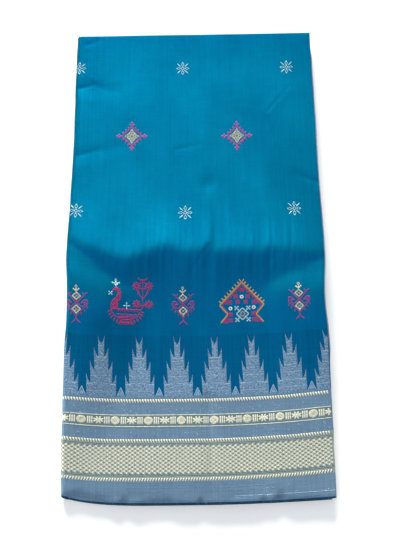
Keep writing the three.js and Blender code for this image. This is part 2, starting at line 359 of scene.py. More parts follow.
def surface(x, y):
    """Height of the front panel's upper face, with its creases and streaks."""
    x = np.asarray(x, float)
    y = np.asarray(y, float)
    inner = 1 - smoothstep(np.abs(x), *EDGES_FROM)
    ragged = (RAGGED_RIDGE[0] * RAGGED(x) + RAGGED_RIDGE[1] * STREAK(x + 150)) * inner
    for middle, climb, width in RIDGE_NOTCHES:
        ragged -= climb * bell(x - middle, width)
    ragged = ragged * bell(y - RIDGE_Y, RAGGED_REACH)
    height = stack_height(x, y, ragged) + line_height(x, y, CREASES + FINE_CREASES)
    from_ridge = y - RIDGE_Y
    near = bell(from_ridge + 12, 26 + 18 * STREAK_REACH(x))
    broad, fine, above = STREAK_HEIGHTS
    height += near * (broad * STREAK(x) + fine * STREAK_FINE(x))
    height += above * STREAK(x + 400) * smoothstep(from_ridge, -110.0, -60.0)
    height += ROLL_HEIGHT * ROLL_X(x) * ROLL_Y(y) * inner
    height += SOFT_HEIGHT * SOFT_X(x + 0.15 * y) * SOFT_Y(y - 0.1 * x)
    height += TOP_EASE * np.clip((y - TOP_EASE_FROM) / TOP_EASE_LENGTH, 0.0, 1.0) ** 2
    start = row_y(x, CURL_FROM) - 1.5 * SOFT_X(x + 900)
    for middle, climb, width in BOTTOM_TURNS:
        start = start + climb * bell(x - middle, width)
    height -= CURL_DEPTH * np.maximum(0.0, (start - y) / CURL_LENGTH) ** 2
    return height


# Meshes

def add_object(name, data):
    piece = bpy.data.objects.new(name, data)
    bpy.context.scene.collection.objects.link(piece)
    return piece


def make_mesh(name, points, faces, materials, uvs, indices=None, normals=None):
    mesh = bpy.data.meshes.new(name)
    points = np.asarray(points, float) * MM
    faces = np.asarray(faces, int)
    sides = faces.shape[1]
    mesh.vertices.add(len(points))
    mesh.vertices.foreach_set("co", points.ravel())
    mesh.loops.add(faces.size)
    mesh.loops.foreach_set("vertex_index", faces.ravel())
    mesh.polygons.add(len(faces))
    mesh.polygons.foreach_set("loop_start", np.arange(0, faces.size, sides))
    for material in materials:
        mesh.materials.append(material)
    if indices is not None:
        mesh.polygons.foreach_set("material_index", np.asarray(indices, int))
    layer = mesh.uv_layers.new(name="Cloth")
    corners = np.asarray(uvs, float)[faces.ravel()] * MM
    layer.data.foreach_set("uv", corners.ravel())
    mesh.update(calc_edges=True)
    mesh.validate()
    mesh.shade_smooth()
    piece = add_object(name, mesh)
    if normals is not None:
        mesh.normals_split_custom_set_from_vertices([tuple(normal) for normal in normals])
    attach(piece, "root")
    return piece


def grid_faces(rows, columns):
    row, column = np.meshgrid(np.arange(rows - 1), np.arange(columns - 1), indexing="ij")
    first = row * columns + column
    quads = np.stack([first, first + 1, first + columns + 1, first + columns], axis=-1)
    return quads.reshape(-1, 4)


# Materials

CLOUD_STOPS = (0.30, 0.5, 0.72)

# One unit of the cloth map is a metre of cloth, so a scale is a count in each metre
WEAVE_THREADS = 1900.0
STREAK_THREADS = 420.0


def colour4(name):
    return (*COLOURS[name], 1.0)


def new_material(name, settings):
    """A material and its surface shader, whose sockets are set by name."""
    material = bpy.data.materials.new(name)
    material.use_nodes = True
    surface_shader = material.node_tree.nodes["Principled BSDF"]
    for socket, value in settings.items():
        surface_shader.inputs[socket].default_value = value
    return material, surface_shader


class Shader:
    """Short names for the nodes of one material of cloth or thread."""

    def __init__(self, name, tint, roughness, specular, metallic):
        self.material, self.bsdf = new_material(name, {
            "Roughness": roughness,
            "Sheen Weight": 0.1,
            "Sheen Roughness": 0.45,
            "Sheen Tint": colour4(tint),
            "Specular IOR Level": specular,
            "Specular Tint": colour4(tint),
            "Metallic": metallic,
        })
        self.tree = self.material.node_tree
        uv = self.node("UVMap")
        uv.uv_map = "Cloth"
        self.place = uv.outputs["UV"]
        self.height = None

    def feed(self, socket, value):
        """Give a socket a link, a colour by its name, or a plain value."""
        if isinstance(value, bpy.types.NodeSocket):
            self.tree.links.new(value, socket)
        else:
            socket.default_value = colour4(value) if isinstance(value, str) else value

    def node(self, kind, **inputs):
        node = self.tree.nodes.new("ShaderNode" + kind)
        for name, value in inputs.items():
            self.feed(node.inputs[name], value)
        return node

    def noise(self, x, y, detail, roughness=0.5):
        mapping = self.node("Mapping", Vector=self.place, Scale=(x, y, 1.0))
        noise = self.node("TexNoise", Vector=mapping.outputs["Vector"], Scale=1.0, Detail=detail,
                          Roughness=roughness)
        return noise.outputs["Fac"]

    def ramp(self, fac, *stops, mode="LINEAR"):
        node = self.node("ValToRGB", Fac=fac)
        node.color_ramp.interpolation = mode
        elements = node.color_ramp.elements
        elements.remove(elements[1])
        for index, (position, value) in enumerate(stops):
            element = elements[0] if index == 0 else elements.new(position)
            element.position = position
            element.color = colour4(value) if isinstance(value, str) else (value, value, value, 1.0)
        return node.outputs["Color"]

    def mix(self, fac, first, second, blend="MIX"):
        node = self.node("Mix")
        node.data_type = "RGBA"
        node.blend_type = blend
        colours = [socket for socket in node.inputs if socket.type == "RGBA"]
        for value, socket in zip((fac, first, second), (node.inputs[0], *colours)):
            self.feed(socket, value)
        return next(socket for socket in node.outputs if socket.type == "RGBA")

    def streaks(self, amount, base, noise, *stops):
        """A colour made darker and paler along a noise."""
        return self.mix(amount, base, self.ramp(noise, *stops), "MULTIPLY")

    def maths(self, operation, *values):
        node = self.node("Math")
        node.operation = operation
        for value, socket in zip(values, node.inputs):
            self.feed(socket, value)
        return node.outputs["Value"]

    def axis(self, source, name):
        return self.node("SeparateXYZ", Vector=source).outputs[name]

    def bump(self, height, distance, strength):
        node = self.node("Bump", Height=height, Distance=distance, Strength=strength)
        if self.height is not None:
            self.feed(node.inputs["Normal"], self.height)
        self.height = node.outputs["Normal"]

    def weave(self):
        """Crossing threads of a fine plain weave, from two sine waves."""
        waves = []
        for name in "XY":
            turn = self.maths("MULTIPLY", self.axis(self.place, name), WEAVE_THREADS * math.pi)
            waves.append(self.maths("SINE", turn))
        self.bump(self.maths("MULTIPLY", *waves), 0.00006, 0.5)

    def finish(self, colour, roughness=None):
        for socket, value in (("Base Color", colour), ("Roughness", roughness), ("Normal", self.height)):
            if value is not None:
                self.feed(self.bsdf.inputs[socket], value)
        return self.material


def silk(name, dark, middle, light, streaks=0.5, tint="teal_light", painted_shade_tones=None):
    """Plain woven silk, glossy in its own colour, with warp streaks, slubs and soft patches.

    Where the cloth leans to the bottom edge, away from the key light, three bluer colours
    take over from dark to light: painted shade.
    """
    shader = Shader(name, tint, roughness=0.5, specular=0.0, metallic=0.7)
    clouds = shader.noise(14.0, 9.0, 4.0, 0.6)
    base = shader.ramp(clouds, *zip(CLOUD_STOPS, (dark, middle, light)))
    if painted_shade_tones:
        # Painted shade: a bluer teal takes over where the cloth leans away from the key light, towards the
        # bottom edge.
        second = shader.ramp(clouds, *zip(CLOUD_STOPS, painted_shade_tones))
        normal = shader.node("NewGeometry").outputs["Normal"]
        leaning_down = shader.maths("MULTIPLY_ADD", shader.axis(normal, "Y"), 3.0, 0.5)
        base = shader.mix(shader.ramp(leaning_down, (0.26, 1.0), (0.52, 0.0)), base, second)
    warp = shader.noise(STREAK_THREADS, 5.0, 3.0, 0.65)
    slub = shader.noise(26.0, 620.0, 2.0, 0.6)
    base = shader.streaks(streaks, base, warp, (0.32, 0.80), (0.5, 1.0), (0.68, 1.16))
    base = shader.streaks(streaks * 0.8, base, slub, (0.33, 0.86), (0.5, 1.0), (0.70, 1.13))
    shader.weave()
    shader.bump(warp, 0.0004, 0.5)
    shader.bump(slub, 0.00025, 0.4)
    return shader.finish(base, shader.ramp(warp, (0.3, 0.54), (0.7, 0.45)))


def thread(name, dark, light, roughness=0.42):
    """Stitched or brocaded thread, a little uneven in tone from stitch to stitch."""
    shader = Shader(name, light, roughness, specular=0.1, metallic=0.45)
    base = shader.ramp(shader.noise(420.0, 900.0, 2.0), (0.30, dark), (0.70, light))
    shader.bump(shader.noise(2600.0, 2600.0, 1.0), 0.00012, 0.5)
    return shader.finish(base)


def banded(name, first, last):
    """Cloth at the folds, where the field and each woven band show by their place along it."""
    shader = Shader(name, "teal_light", roughness=0.5, specular=0.0, metallic=0.6)
    past = shader.maths("SUBTRACT", shader.axis(shader.place, "Y"), first * MM)
    grounds = (
        (first, "navy"),
        (RIM[1], "slate"),
        (ROPE_3[0], "lattice"),
        (ROPE_2[1], "slate"),
        (LINE_2, "rosette_ground"),
        (LINE_1, "slate"),
        (TEMPLE_FOOT, "teal_dark"),
        (FIELD_END, "teal"),
    )
    stops = [((y - first) / (last - first), colour) for y, colour in grounds]
    base = shader.ramp(shader.maths("DIVIDE", past, (last - first) * MM), *stops, mode="CONSTANT")
    warp = shader.noise(STREAK_THREADS, 40.0, 3.0, 0.65)
    slub = shader.noise(60.0, 620.0, 2.0, 0.6)
    base = shader.streaks(0.8, base, warp, (0.30, 0.72), (0.5, 0.95), (0.70, 1.15))
    base = shader.streaks(0.6, base, slub, (0.33, 0.82), (0.5, 1.0), (0.70, 1.12))
    shader.weave()
    shader.bump(warp, 0.0003, 0.4)
    return shader.finish(base)


MATERIALS = {
    # The field's second colours are painted shade, bluer where the cloth leans to the bottom edge.
    "field": silk("Field silk", "teal_dark", "teal", "teal_light", streaks=0.3,
                  painted_shade_tones=("deep_dark", "deep", "deep_light")),
    "rosette_ground": silk("Rosette ground silk", "rosette_ground", "rosette_ground", "slate", tint="slate"),
    "temple_ground": silk("Temple ground silk", "deep_dark", "temple_ground", "deep"),
    "slate": silk("Border silk", "slate", "slate", "slate_light", tint="slate_light"),
    "lattice_ground": silk("Honeycomb ground silk", "grey_green", "lattice", "lattice", tint="zari"),
    "pale_edge": silk("Pale fold edge silk", "silver", "silver_light", "silver_light", tint="silver_light"),
    "folds": banded("Folded silk", RIM[0], HALF_LENGTH),
    "silver": thread("Silver temple thread", "silver", "silver_light", 0.36),
    "silver_mid": thread("Middle silver thread", "silver_mid", "silver_light", 0.36),
    "silver_light": thread("Bright silver thread", "silver_light", "white", 0.34),
    "slate_fleck": thread("Pale slate thread", "slate_light", "silver", 0.5),
    "eye": thread("Dark honeycomb thread", "eye", "grey_green_dark", 0.6),
    "zari": thread("Pale zari", "zari", "zari_light", 0.36),
    "zari_light": thread("Bright zari", "zari_light", "zari_light", 0.34),
    "grey_green": thread("Grey green thread", "grey_green", "beige", 0.5),
    "pale_line": thread("Pale grey thread", "grey_green", "zari", 0.5),
    "slate_line": thread("Grey slate thread", "slate", "eye", 0.6),
    "white": thread("White thread", "white", "white"),
    "bright_white": thread("Bright white thread", "bright_white", "bright_white"),
    "pale_blue": thread("Pale blue thread", "pale_blue", "white"),
    "crimson": thread("Crimson thread", "crimson", "crimson"),
    "magenta": thread("Magenta thread", "magenta", "magenta"),
    "violet": thread("Violet thread", "violet", "magenta"),
    "beige": thread("Beige thread", "beige", "zari"),
    "ochre": thread("Ochre thread", "ochre", "ochre"),
    "ink": thread("Dark thread", "ink", "navy", 0.6),
    "navy": thread("Navy rim thread", "navy", "navy", 0.6),
}


# The outer cloth is one grid, from the back panel round the left fold and over the front panel.
# Each piece is cut from it, so that the pieces share the shape and shading of their seams.

NOSE_RADIUS = 0.9
NOSE_RETURN = 7.0
NOSE_STEPS = 7
TOP_RADIUS = 1.3
TOP_STEPS = 7
TOP_RETURN = 5.0
ARC_STEPS = 30
SPINE_FULLNESS = 0.6
CELL = 1.8
BACK_EDGE = 3.0
HEM_RETURN = 6.0


def places(first, last, step):
    count = max(2, int(round(abs(last - first) / step)) + 1)
    return np.linspace(first, last, count)


def grid_columns():
    """Columns across the cloth: place, turn round the left fold, and drop at the right edge."""
    columns = [(x, math.pi, 0.0) for x in places(HALF_WIDTH - BACK_EDGE, FLAT_LEFT, 6.0)]
    spine = len(columns) - 1
    for step in range(ARC_STEPS - 1, 0, -1):
        columns.append((FLAT_LEFT, math.pi * step / ARC_STEPS, 0.0))
    front = len(columns)
    for x in places(FLAT_LEFT, HALF_WIDTH - NOSE_RADIUS, CELL):
        columns.append((x, 0.0, 0.0))
    for step in range(1, NOSE_STEPS + 1):
        turn = math.pi * step / NOSE_STEPS
        x = HALF_WIDTH - NOSE_RADIUS + NOSE_RADIUS * math.sin(turn)
        columns.append((x, 0.0, NOSE_RADIUS * (1 - math.cos(turn))))
    columns.append((HALF_WIDTH - NOSE_RETURN, 0.0, 2 * NOSE_RADIUS + 0.3))
    return np.array(columns), spine, front


def grid_rows():
    """Rows along the cloth: place, how far past its place, and how far inwards."""
    rows = [(RIM[0], -HEM_RETURN, 0.62), (RIM[0], 0.1, 0.5), (RIM[0], 0.15, 0.25)]
    bands = (RIM[0], ROPE_3[0], ROPE_3[1], LATTICE[0], LATTICE[1], ROPE_2[0], ROPE_2[1],
             LINE_2, LINE_1, ROPE_1[0], TEMPLE_FOOT, FIELD_END)
    for first, last in zip(bands, bands[1:]):
        rows += [(place, 0.0, 0.0) for place in places(first, last, CELL)[:-1]]
    field = len(rows)
    seam = HALF_LENGTH - TOP_RADIUS
    rows += [(place, 0.0, 0.0) for place in places(FIELD_END, seam, CELL)]
    top = len(rows) - 1
    for step in range(1, TOP_STEPS + 1):
        turn = math.pi * step / TOP_STEPS
        rows.append((seam, TOP_RADIUS * math.sin(turn), TOP_RADIUS * (1 - math.cos(turn))))
    rows.append((seam, -TOP_RETURN, 2 * TOP_RADIUS + 0.2))
    return np.array(rows), field, top


COLUMNS, SPINE, FRONT = grid_columns()
ROWS, FIELD_ROW, TOP_ROW = grid_rows()


def spine_section(turn):
    """Reach to the left and height of the left fold, fuller than an ellipse at its corners."""
    side, up = np.sin(turn), np.cos(turn)
    return np.abs(side) ** SPINE_FULLNESS, np.sign(up) * np.abs(up) ** SPINE_FULLNESS


def waved_x(x, y):
    """Real x on the packet, with the small waves of its right edge."""
    wave, reach = RIGHT_EDGE_WAVES
    return cloth_x(x, y) + wave * EDGE_WAVE(y) * smoothstep(x, HALF_WIDTH - reach, HALF_WIDTH)


def left_bulge(y):
    return SPINE_DEPTH + LEFT_EDGE_WAVES[0] * EDGE_WAVE(y + 90) + LEFT_EDGE_WAVES[1] * SOFT_Y(y)


def cloth_grid():
    place, past, inwards = (ROWS[:, index][:, None] for index in range(3))
    x, turn, drop = (COLUMNS[:, index][None, :] for index in range(3))
    outer_x = x - SPINE_DEPTH * np.sin(turn)
    y = row_y(outer_x, np.broadcast_to(place, (len(ROWS), len(COLUMNS))))
    flat_x = waved_x(x, y)
    half = surface(np.where(turn > 0, cloth_x(FLAT_LEFT, y), flat_x), y) / 2
    bulge = left_bulge(y)
    side, up = spine_section(turn)
    points = np.stack([flat_x - bulge * side, y, half + half * up - drop], axis=-1)
    out = np.stack([-np.sin(turn) * half, np.zeros_like(half), np.cos(turn) * bulge], axis=-1)
    points = points - unit(out) * inwards[..., None]
    points[..., 1] += np.where(place < 0, -past, past)
    points[..., 2] = np.maximum(points[..., 2], 0.0)
    return points


def lengths(steps):
    """Length run through at each of a row of points, from the steps between them."""
    return np.concatenate([[0.0], np.cumsum(steps)])


def spine_turn(around, half):
    """The turn round the left fold after a length of cloth, for half the packet's height."""
    steps = np.linspace(0, math.pi, 241)
    side, up = spine_section(steps)
    pace = np.hypot(np.diff(side) * SPINE_DEPTH, np.diff(up) * np.mean(half))
    return np.interp(around, lengths(pace), steps)


def on_cloth(x, place, lift):
    """Points on the front panel and round the left fold, a little above the cloth."""
    around = np.maximum(0.0, FLAT_LEFT - x)
    spine = around > 0
    y = row_y(np.maximum(x, -HALF_WIDTH), place)
    edge_x = cloth_x(FLAT_LEFT, y)
    half = surface(edge_x, y) / 2
    turn = spine_turn(around, half[spine]) if spine.any() else around
    side, up = spine_section(turn)
    flat_x = waved_x(x, y)
    real_x = np.where(spine, edge_x - (left_bulge(y) + lift) * side, flat_x)
    real_z = np.where(spine, half + (half + lift) * up, surface(flat_x, y) + lift)
    return np.stack([real_x, y, real_z], axis=-1)


def grid_normals(points):
    along = np.gradient(points, axis=0)
    across = np.gradient(points, axis=1)
    return unit(np.cross(across, along))


def map_widths(points):
    """Width of cloth along a row of points, from its first one."""
    return lengths(np.linalg.norm(np.diff(points, axis=0), axis=-1))


def cloth_map(widths, places_along):
    """The cloth map of a grid, from the width of each column and the place of each row."""
    return np.stack(np.broadcast_arrays(widths[None, :], places_along[:, None]), axis=-1)


GRID = cloth_grid()
NORMALS = grid_normals(GRID)
GRID_WIDTHS = map_widths(GRID[len(GRID) // 2])
GRID_UV = cloth_map(GRID_WIDTHS - GRID_WIDTHS[FRONT] + FLAT_LEFT, ROWS[:, 0] + ROWS[:, 1])


def cut(name, rows, columns, materials, indices=None):
    """One piece of the outer cloth, between two rows and two columns of the grid."""
    window = (slice(rows[0], rows[1] + 1), slice(columns[0], columns[1] + 1))
    shape = GRID[window].shape
    return make_mesh(
        name,
        GRID[window].reshape(-1, 3),
        grid_faces(shape[0], shape[1]),
        materials,
        GRID_UV[window].reshape(-1, 2),
        indices=indices,
        normals=NORMALS[window].reshape(-1, 3),
    )


def outer_cloth():
    last_column = len(COLUMNS) - 1
    last_row = len(ROWS) - 1
    field = cut("front_field_cloth", (FIELD_ROW, TOP_ROW), (FRONT, last_column), [MATERIALS["field"]])
    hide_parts("front_field")

    # The ground of the border changes from band to band
    starts = ROWS[:FIELD_ROW, 0]
    ground = np.zeros(FIELD_ROW, int)
    ground[starts >= TEMPLE_FOOT - 0.01] = 1
    ground[(starts >= ROPE_3[0] - 0.01) & (starts < ROPE_2[1] - 0.01)] = 2
    ground[(starts >= LINE_2 - 0.01) & (starts < LINE_1 - 0.01)] = 3
    across = last_column - FRONT
    border = cut(
        "front_border_cloth", (0, FIELD_ROW), (FRONT, last_column),
        [MATERIALS["slate"], MATERIALS["temple_ground"], MATERIALS["lattice_ground"],
         MATERIALS["rosette_ground"]],
        indices=np.repeat(ground, across),
    )
    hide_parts("front_border")

    left = cut("left_fold_cloth", (0, last_row), (SPINE, FRONT), [MATERIALS["folds"]])
    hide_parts("left_fold")

    top = cut("top_fold_cloth", (TOP_ROW, last_row), (FRONT, last_column), [MATERIALS["field"]])
    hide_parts("top_fold")

    back = cut("back_panel_cloth", (0, last_row), (0, SPINE), [MATERIALS["folds"]])
    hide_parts("back_panel")


# Layers that show at the edges: the next layer down at the right, then the noses of the folds

COVER = 2.3
SIDE_FOLDS = 9
END_LAYERS = 15
EDGE_CELL = 3.0
UNDER_SHOWS = (0.2, 1.5)
UNDER_BOTTOM = (-150.0, -125.0)
UNDER_TOP = (262.0, 284.0)
FOLD_REACH = 0.2
FOLD_LEAN = 1.3
FOLD_WANDER = (0.8, 0.35)
PART_DEPTH = 3.4
PART_WIDTH = 0.09
STACK_EDGES = Noise(31, 38.0)


def stack_top(x, y):
    return surface(x, y) - COVER


def under_shows(y):
    least, more = UNDER_SHOWS
    between = smoothstep(y, *UNDER_BOTTOM) * (1 - smoothstep(y, *UNDER_TOP))
    return least + more * between * (1 + 0.2 * EDGE_WAVE(y + 33))


def nose_section(depth, radius, steps=6):
    """A thin fold seen from its end: in from its upper layer, round the nose and back."""
    section = [(-depth, radius)]
    for step in range(steps + 1):
        turn = math.pi * step / steps
        section.append((radius * math.sin(turn) - radius, radius * math.cos(turn)))
    section.append((-depth, -radius))
    return np.array(section)


def strip(centre, section):
    """Points of a section swept along a line, with its reach along x."""
    points = np.repeat(centre[:, None, :], len(section), axis=1)
    points[..., 0] += section[None, :, 0]
    points[..., 2] += section[None, :, 1]
    return points


def strip_mesh(name, strips, material):
    points, faces, uvs, first = [], [], [], 0
    for grid, uv in strips:
        points.append(grid.reshape(-1, 3))
        faces.append(grid_faces(grid.shape[0], grid.shape[1]) + first)
        uvs.append(uv.reshape(-1, 2))
        first += grid.shape[0] * grid.shape[1]
    piece = make_mesh(name, np.concatenate(points), np.concatenate(faces), [material], np.concatenate(uvs))
    return piece


def strip_uv(grid, place):
    return cloth_map(map_widths(grid[0]), place)


def under_layer():
    place = places(RIM[0] + 2.5, HALF_LENGTH - 3.0, CELL)
    y = row_y(HALF_WIDTH, place)
    x = cloth_x(HALF_WIDTH, y) + under_shows(y) + 0.3 * EDGE_WAVE(y)
    z = surface(x - 2.0, y) - COVER - 0.9
    centre = np.stack([x, y, z], axis=-1)
    grid = strip(centre, nose_section(22.0, 0.7))
    grid[:, 0, 2] = surface(grid[:, 0, 0], y) - COVER
    strips = [(grid, strip_uv(grid, place))]
    piece = strip_mesh("under_layer_cloth", strips, MATERIALS["pale_edge"])
    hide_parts("under_layer")


def side_folds():
    """Folded noses down the right side, which parts in two in the middle like a book."""
    place = places(RIM[0] + 3.5, HALF_LENGTH - 4.0, EDGE_CELL)
    y = row_y(HALF_WIDTH, place)
    strips = []
    for index in range(SIDE_FOLDS):
        share = (index + 0.5) / SIDE_FOLDS
        room = (surface(cloth_x(HALF_WIDTH - 6, y), y) - COVER - 2.0) / SIDE_FOLDS
        bulge = FOLD_REACH - PART_DEPTH * bell(share - 0.5, PART_WIDTH) - FOLD_LEAN * (1 - share)
        wander = FOLD_WANDER[0] * STACK_EDGES(y + index * 171)
        wander += FOLD_WANDER[1] * STACK_EDGES(2.7 * y + index * 71)
        x = cloth_x(HALF_WIDTH, y) + bulge + wander
        z = 0.4 + room * (index + 0.5)
        centre = np.stack([x, y, z], axis=-1)
        grid = strip(centre, nose_section(9.0, 1.0))
        height = np.concatenate([[1.0], np.cos(np.linspace(0, math.pi, 7)), [-1.0]])
        grid[..., 2] = z[:, None] + height[None, :] * 0.47 * room[:, None]
        strips.append((grid, strip_uv(grid, place)))
    piece = strip_mesh("side_folds_cloth", strips, MATERIALS["folds"])
    return piece


def nested_line(share, end, seed):
    """The line of one layer along an end of the packet, turning back round the left side."""
    across = places(HALF_WIDTH - 3.5, FLAT_LEFT, EDGE_CELL)
    turns = np.linspace(0, math.pi, 15)[1:-1]
    x = np.concatenate([across, np.full(len(turns), FLAT_LEFT), across[::-1]])
    turn = np.concatenate([np.zeros(len(across)), turns, np.full(len(across), math.pi)])
    place = (HALF_LENGTH - 2.6) if end > 0 else (RIM[0] + 2.2)
    y = row_y(x, np.full(len(x), place))
    y += end * (0.55 * STACK_EDGES(x + seed * 57 + 200 * np.cos(turn)) - 0.5 * (1 - share))
    real_x = cloth_x(x, y)
    half = stack_top(real_x, y) / 2
    z = 0.6 + half + half * share * np.cos(turn) * 0.96
    centre = np.stack([real_x - (SPINE_DEPTH - 1.2) * share * np.sin(turn), y, z], axis=-1)
    out = np.stack([-np.sin(turn) * half, np.zeros(len(x)), np.cos(turn) * SPINE_DEPTH], axis=-1)
    return centre, unit(out)


def end_layers(name, end, radius):
    """Edges of the layers at one end, each a thin band that follows its own line."""
    strips = []
    section = nose_section(6.0, 1.0, 4)
    for index in range(END_LAYERS):
        share = (index + 0.7) / END_LAYERS
        centre, out = nested_line(share, end, index)
        grid = np.repeat(centre[:, None, :], len(section), axis=1)
        grid[..., 1] += end * section[None, :, 0]
        grid += out[:, None, :] * section[None, :, 1, None] * radius
        place = (HALF_LENGTH if end > 0 else RIM[0] + 2) + end * section[:, 0]
        uv = np.stack(np.broadcast_arrays(map_widths(centre)[:, None], place[None, :]), axis=-1)
        strips.append((grid, uv))
    piece = strip_mesh(name, strips, MATERIALS["folds"])


def hidden_layers():
    side = side_folds()
    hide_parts("hidden_layers")
    end_layers("top_layers_cloth", 1, 0.5)
    end_layers("bottom_layers_cloth", -1, 0.33)


# Threads: every stitch and brocaded float is a short raised bar that lies on the panel

BAR_LIFT = 0.05
BAR_TIP_LIFT = 0.02
BAR_TAPER = (0.45, 0.3)


class Threads:
    """Bars of one colour, gathered from all the motifs and made into one mesh."""

    def __init__(self):
        self.bars = {}

    def add(self, colour, start, end, width, height):
        self.bars.setdefault(colour, []).append((*start, *end, width, height))

    def make(self, colour, name):
        rows = np.array(self.bars[colour], float)
        start, end = rows[:, 0:2], rows[:, 2:4]
        width, height = rows[:, 4:5], rows[:, 5:6]
        along = end - start
        length = np.maximum(np.linalg.norm(along, axis=1, keepdims=True), 1e-6)
        along = along / length
        side = np.stack([-along[:, 1], along[:, 0]], axis=1)
        taper = np.minimum(width * BAR_TAPER[0], length * BAR_TAPER[1])
        near, far = start + along * taper, end - along * taper
        half = width / 2
        flat = [start, near + side * half, near, near - side * half,
                end, far + side * half, far, far - side * half]
        lift = [BAR_TIP_LIFT, 0.0, 1.0, 0.0] * 2
        points = [
            on_cloth(spot[:, 0], spot[:, 1], BAR_LIFT + height[:, 0] * share)
            for spot, share in zip(flat, lift)
        ]
        points = np.stack(points, axis=1).reshape(-1, 3)
        corners = np.array([[0, 3, 2], [0, 2, 1], [3, 7, 6], [3, 6, 2],
                            [2, 6, 5], [2, 5, 1], [7, 4, 6], [6, 4, 5]])
        faces = (np.arange(len(rows))[:, None, None] * 8 + corners[None]).reshape(-1, 3)
        uvs = np.stack(flat, axis=1).reshape(-1, 2)
        piece = make_mesh(name, points, faces, [MATERIALS[colour]], uvs)


THREADS = Threads()


STITCH_OVERLAP = 0.12
RIGHT_MARGIN = 0.8
LEAST_CUT = 0.25
LEAST_REST = 0.4
LEAST_FLOAT = 0.2
CORNERS = ((1, 1), (1, -1), (-1, 1), (-1, -1))
QUARTER = math.pi / 2


class Pen:
    """Draws one motif in its own millimetres, with its middle at a place on the panel."""

    def __init__(self, x=0.0, place=0.0, turn=0.0, left=-2 * HALF_WIDTH):
        self.x, self.place, self.left = x, place, left
        self.cosine, self.sine = math.cos(turn), math.sin(turn)

    def at(self, point):
        across, along = point
        turned = (across * self.cosine - along * self.sine, across * self.sine + along * self.cosine)
        return self.x + turned[0], self.place + turned[1]

    def kept(self, first, last):
        low, high = sorted((first[0], last[0]))
        return self.left < low and high < HALF_WIDTH - RIGHT_MARGIN

    def line(self, colour, *points, width=0.9, stitch=1.7, height=0.28):
        """A row of stitches along straight stretches."""
        spots = np.array([self.at(point) for point in points])
        for start, way in zip(spots, np.diff(spots, axis=0)):
            count = max(1, round(math.hypot(*way) / stitch))
            for index in range(count):
                first = start + way * max(0.0, (index - STITCH_OVERLAP) / count)
                last = start + way * min(1.0, (index + 1 + STITCH_OVERLAP) / count)
                if self.kept(first, last):
                    THREADS.add(colour, first, last, width, height)

    def closed(self, colour, outline, **how):
        self.line(colour, *outline, outline[0], **how)

    def both(self, colour, *points, **how):
        """The same line on the right and the left of the motif's middle."""
        for side in (1, -1):
            self.line(colour, *((side * across, along) for across, along in points), **how)

    def strokes(self, table):
        """Lines from a table: colour, width, stitch, 1 or 2 sides, and points."""
        for colour, width, stitch, sides, *points in table:
            draw = self.both if sides == 2 else self.line
            draw(colour, *points, width=width, stitch=stitch)

    def ring(self, colour, centre, radius, width=0.9, count=10):
        self.closed(colour, oval(count, radius, radius, centre), width=width, stitch=2 * radius)

    def fill(self, colour, outline, pitch=0.55, stitch=2.4, width=0.6, height=0.22, holes=()):
        """Rows of floats inside an outline, each row's stitches set off from the last."""
        outlines = [[self.at(point) for point in ring] for ring in (outline, *holes)]
        places_along = [point[1] for point in outlines[0]]
        for row in range(math.floor(min(places_along) / pitch), math.ceil(max(places_along) / pitch) + 1):
            along = (row + 0.5) * pitch
            cuts = []
            for ring in outlines:
                for (x0, y0), (x1, y1) in zip(ring, ring[1:] + ring[:1]):
                    if (y0 <= along) != (y1 <= along):
                        cuts.append(x0 + (along - y0) * (x1 - x0) / (y1 - y0))
            cuts.sort()
            for left, right in zip(cuts[::2], cuts[1::2]):
                self.floats(colour, left, right, along, row, stitch, width, height)

    def fills(self, colour, outline, **how):
        """The same filled outline on the right and the left of the motif's middle."""
        for side in (1, -1):
            self.fill(colour, [(side * across, along) for across, along in outline], **how)

    def floats(self, colour, left, right, along, row, stitch, width, height):
        if right - left < LEAST_CUT:
            return
        shift = stitch * (0.5 if row % 2 else 0.0)
        start = left
        index = math.floor((left - shift) / stitch) + 1
        while start < right - 1e-6:
            end = min(right, index * stitch + shift)
            if right - end < LEAST_REST:
                end = right
            if end - start > LEAST_FLOAT and self.kept((start, along), (end, along)):
                THREADS.add(colour, (start, along), (end, along), width, height)
            start = end
            index += 1


def oval(count, reach_x, reach_y, centre=(0, 0), first=0.0):
    """Points at even turns round a centre."""
    turns = [first + 2 * math.pi * step / count for step in range(count)]
    return [(centre[0] + reach_x * math.cos(turn), centre[1] + reach_y * math.sin(turn)) for turn in turns]


def diamond(centre, half_x, half_y):
    return oval(4, half_x, half_y, centre, QUARTER)


def pointed(count, reach_x, reach_y, even, odd):
    """Points round the middle that lie at two shares of the reach by turns."""
    shares = (even, odd) * (count // 2)
    spots = oval(count, reach_x, reach_y)
    return [(across * share, along * share) for share, (across, along) in zip(shares, spots)]


def tooth(root, half, length):
    """A small triangle that points down from its root."""
    return [(root[0] - half, root[1]), (root[0], root[1] - length), (root[0] + half, root[1])]


# Field motifs

STAR_PETALS = (
    # tip, widest place and root, from the centre, for the level and the upright petals
    (8.5, 5.4, 2.7),
    (9.4, 6.0, 2.9),
)


def star_buti(x, place):
    """White star: four hollow pointed petals, four slender leaves and a small open diamond."""
    for quarter in range(4):
        tip, wide, root = STAR_PETALS[quarter % 2]
        petal = Pen(x, place, quarter * QUARTER)
        petal.closed("white", [(root, 0), (wide, 1.6), (tip, 0), (wide, -1.6)], width=0.56)
        petal.line("white", (wide + 1.6, 0), (tip, 0), width=0.55)
    pen = Pen(x, place)
    for side, up in CORNERS:
        pen.line("white", (side * 2.2, up * 2.2), (side * 7.2, up * 7.5), width=0.58)
        pen.line("white", (side * 3.3, up * 3.5), (side * 6.2, up * 6.4), width=1.0)
    pen.closed("white", diamond((0, 0), 2.2, 2.4), width=0.66)


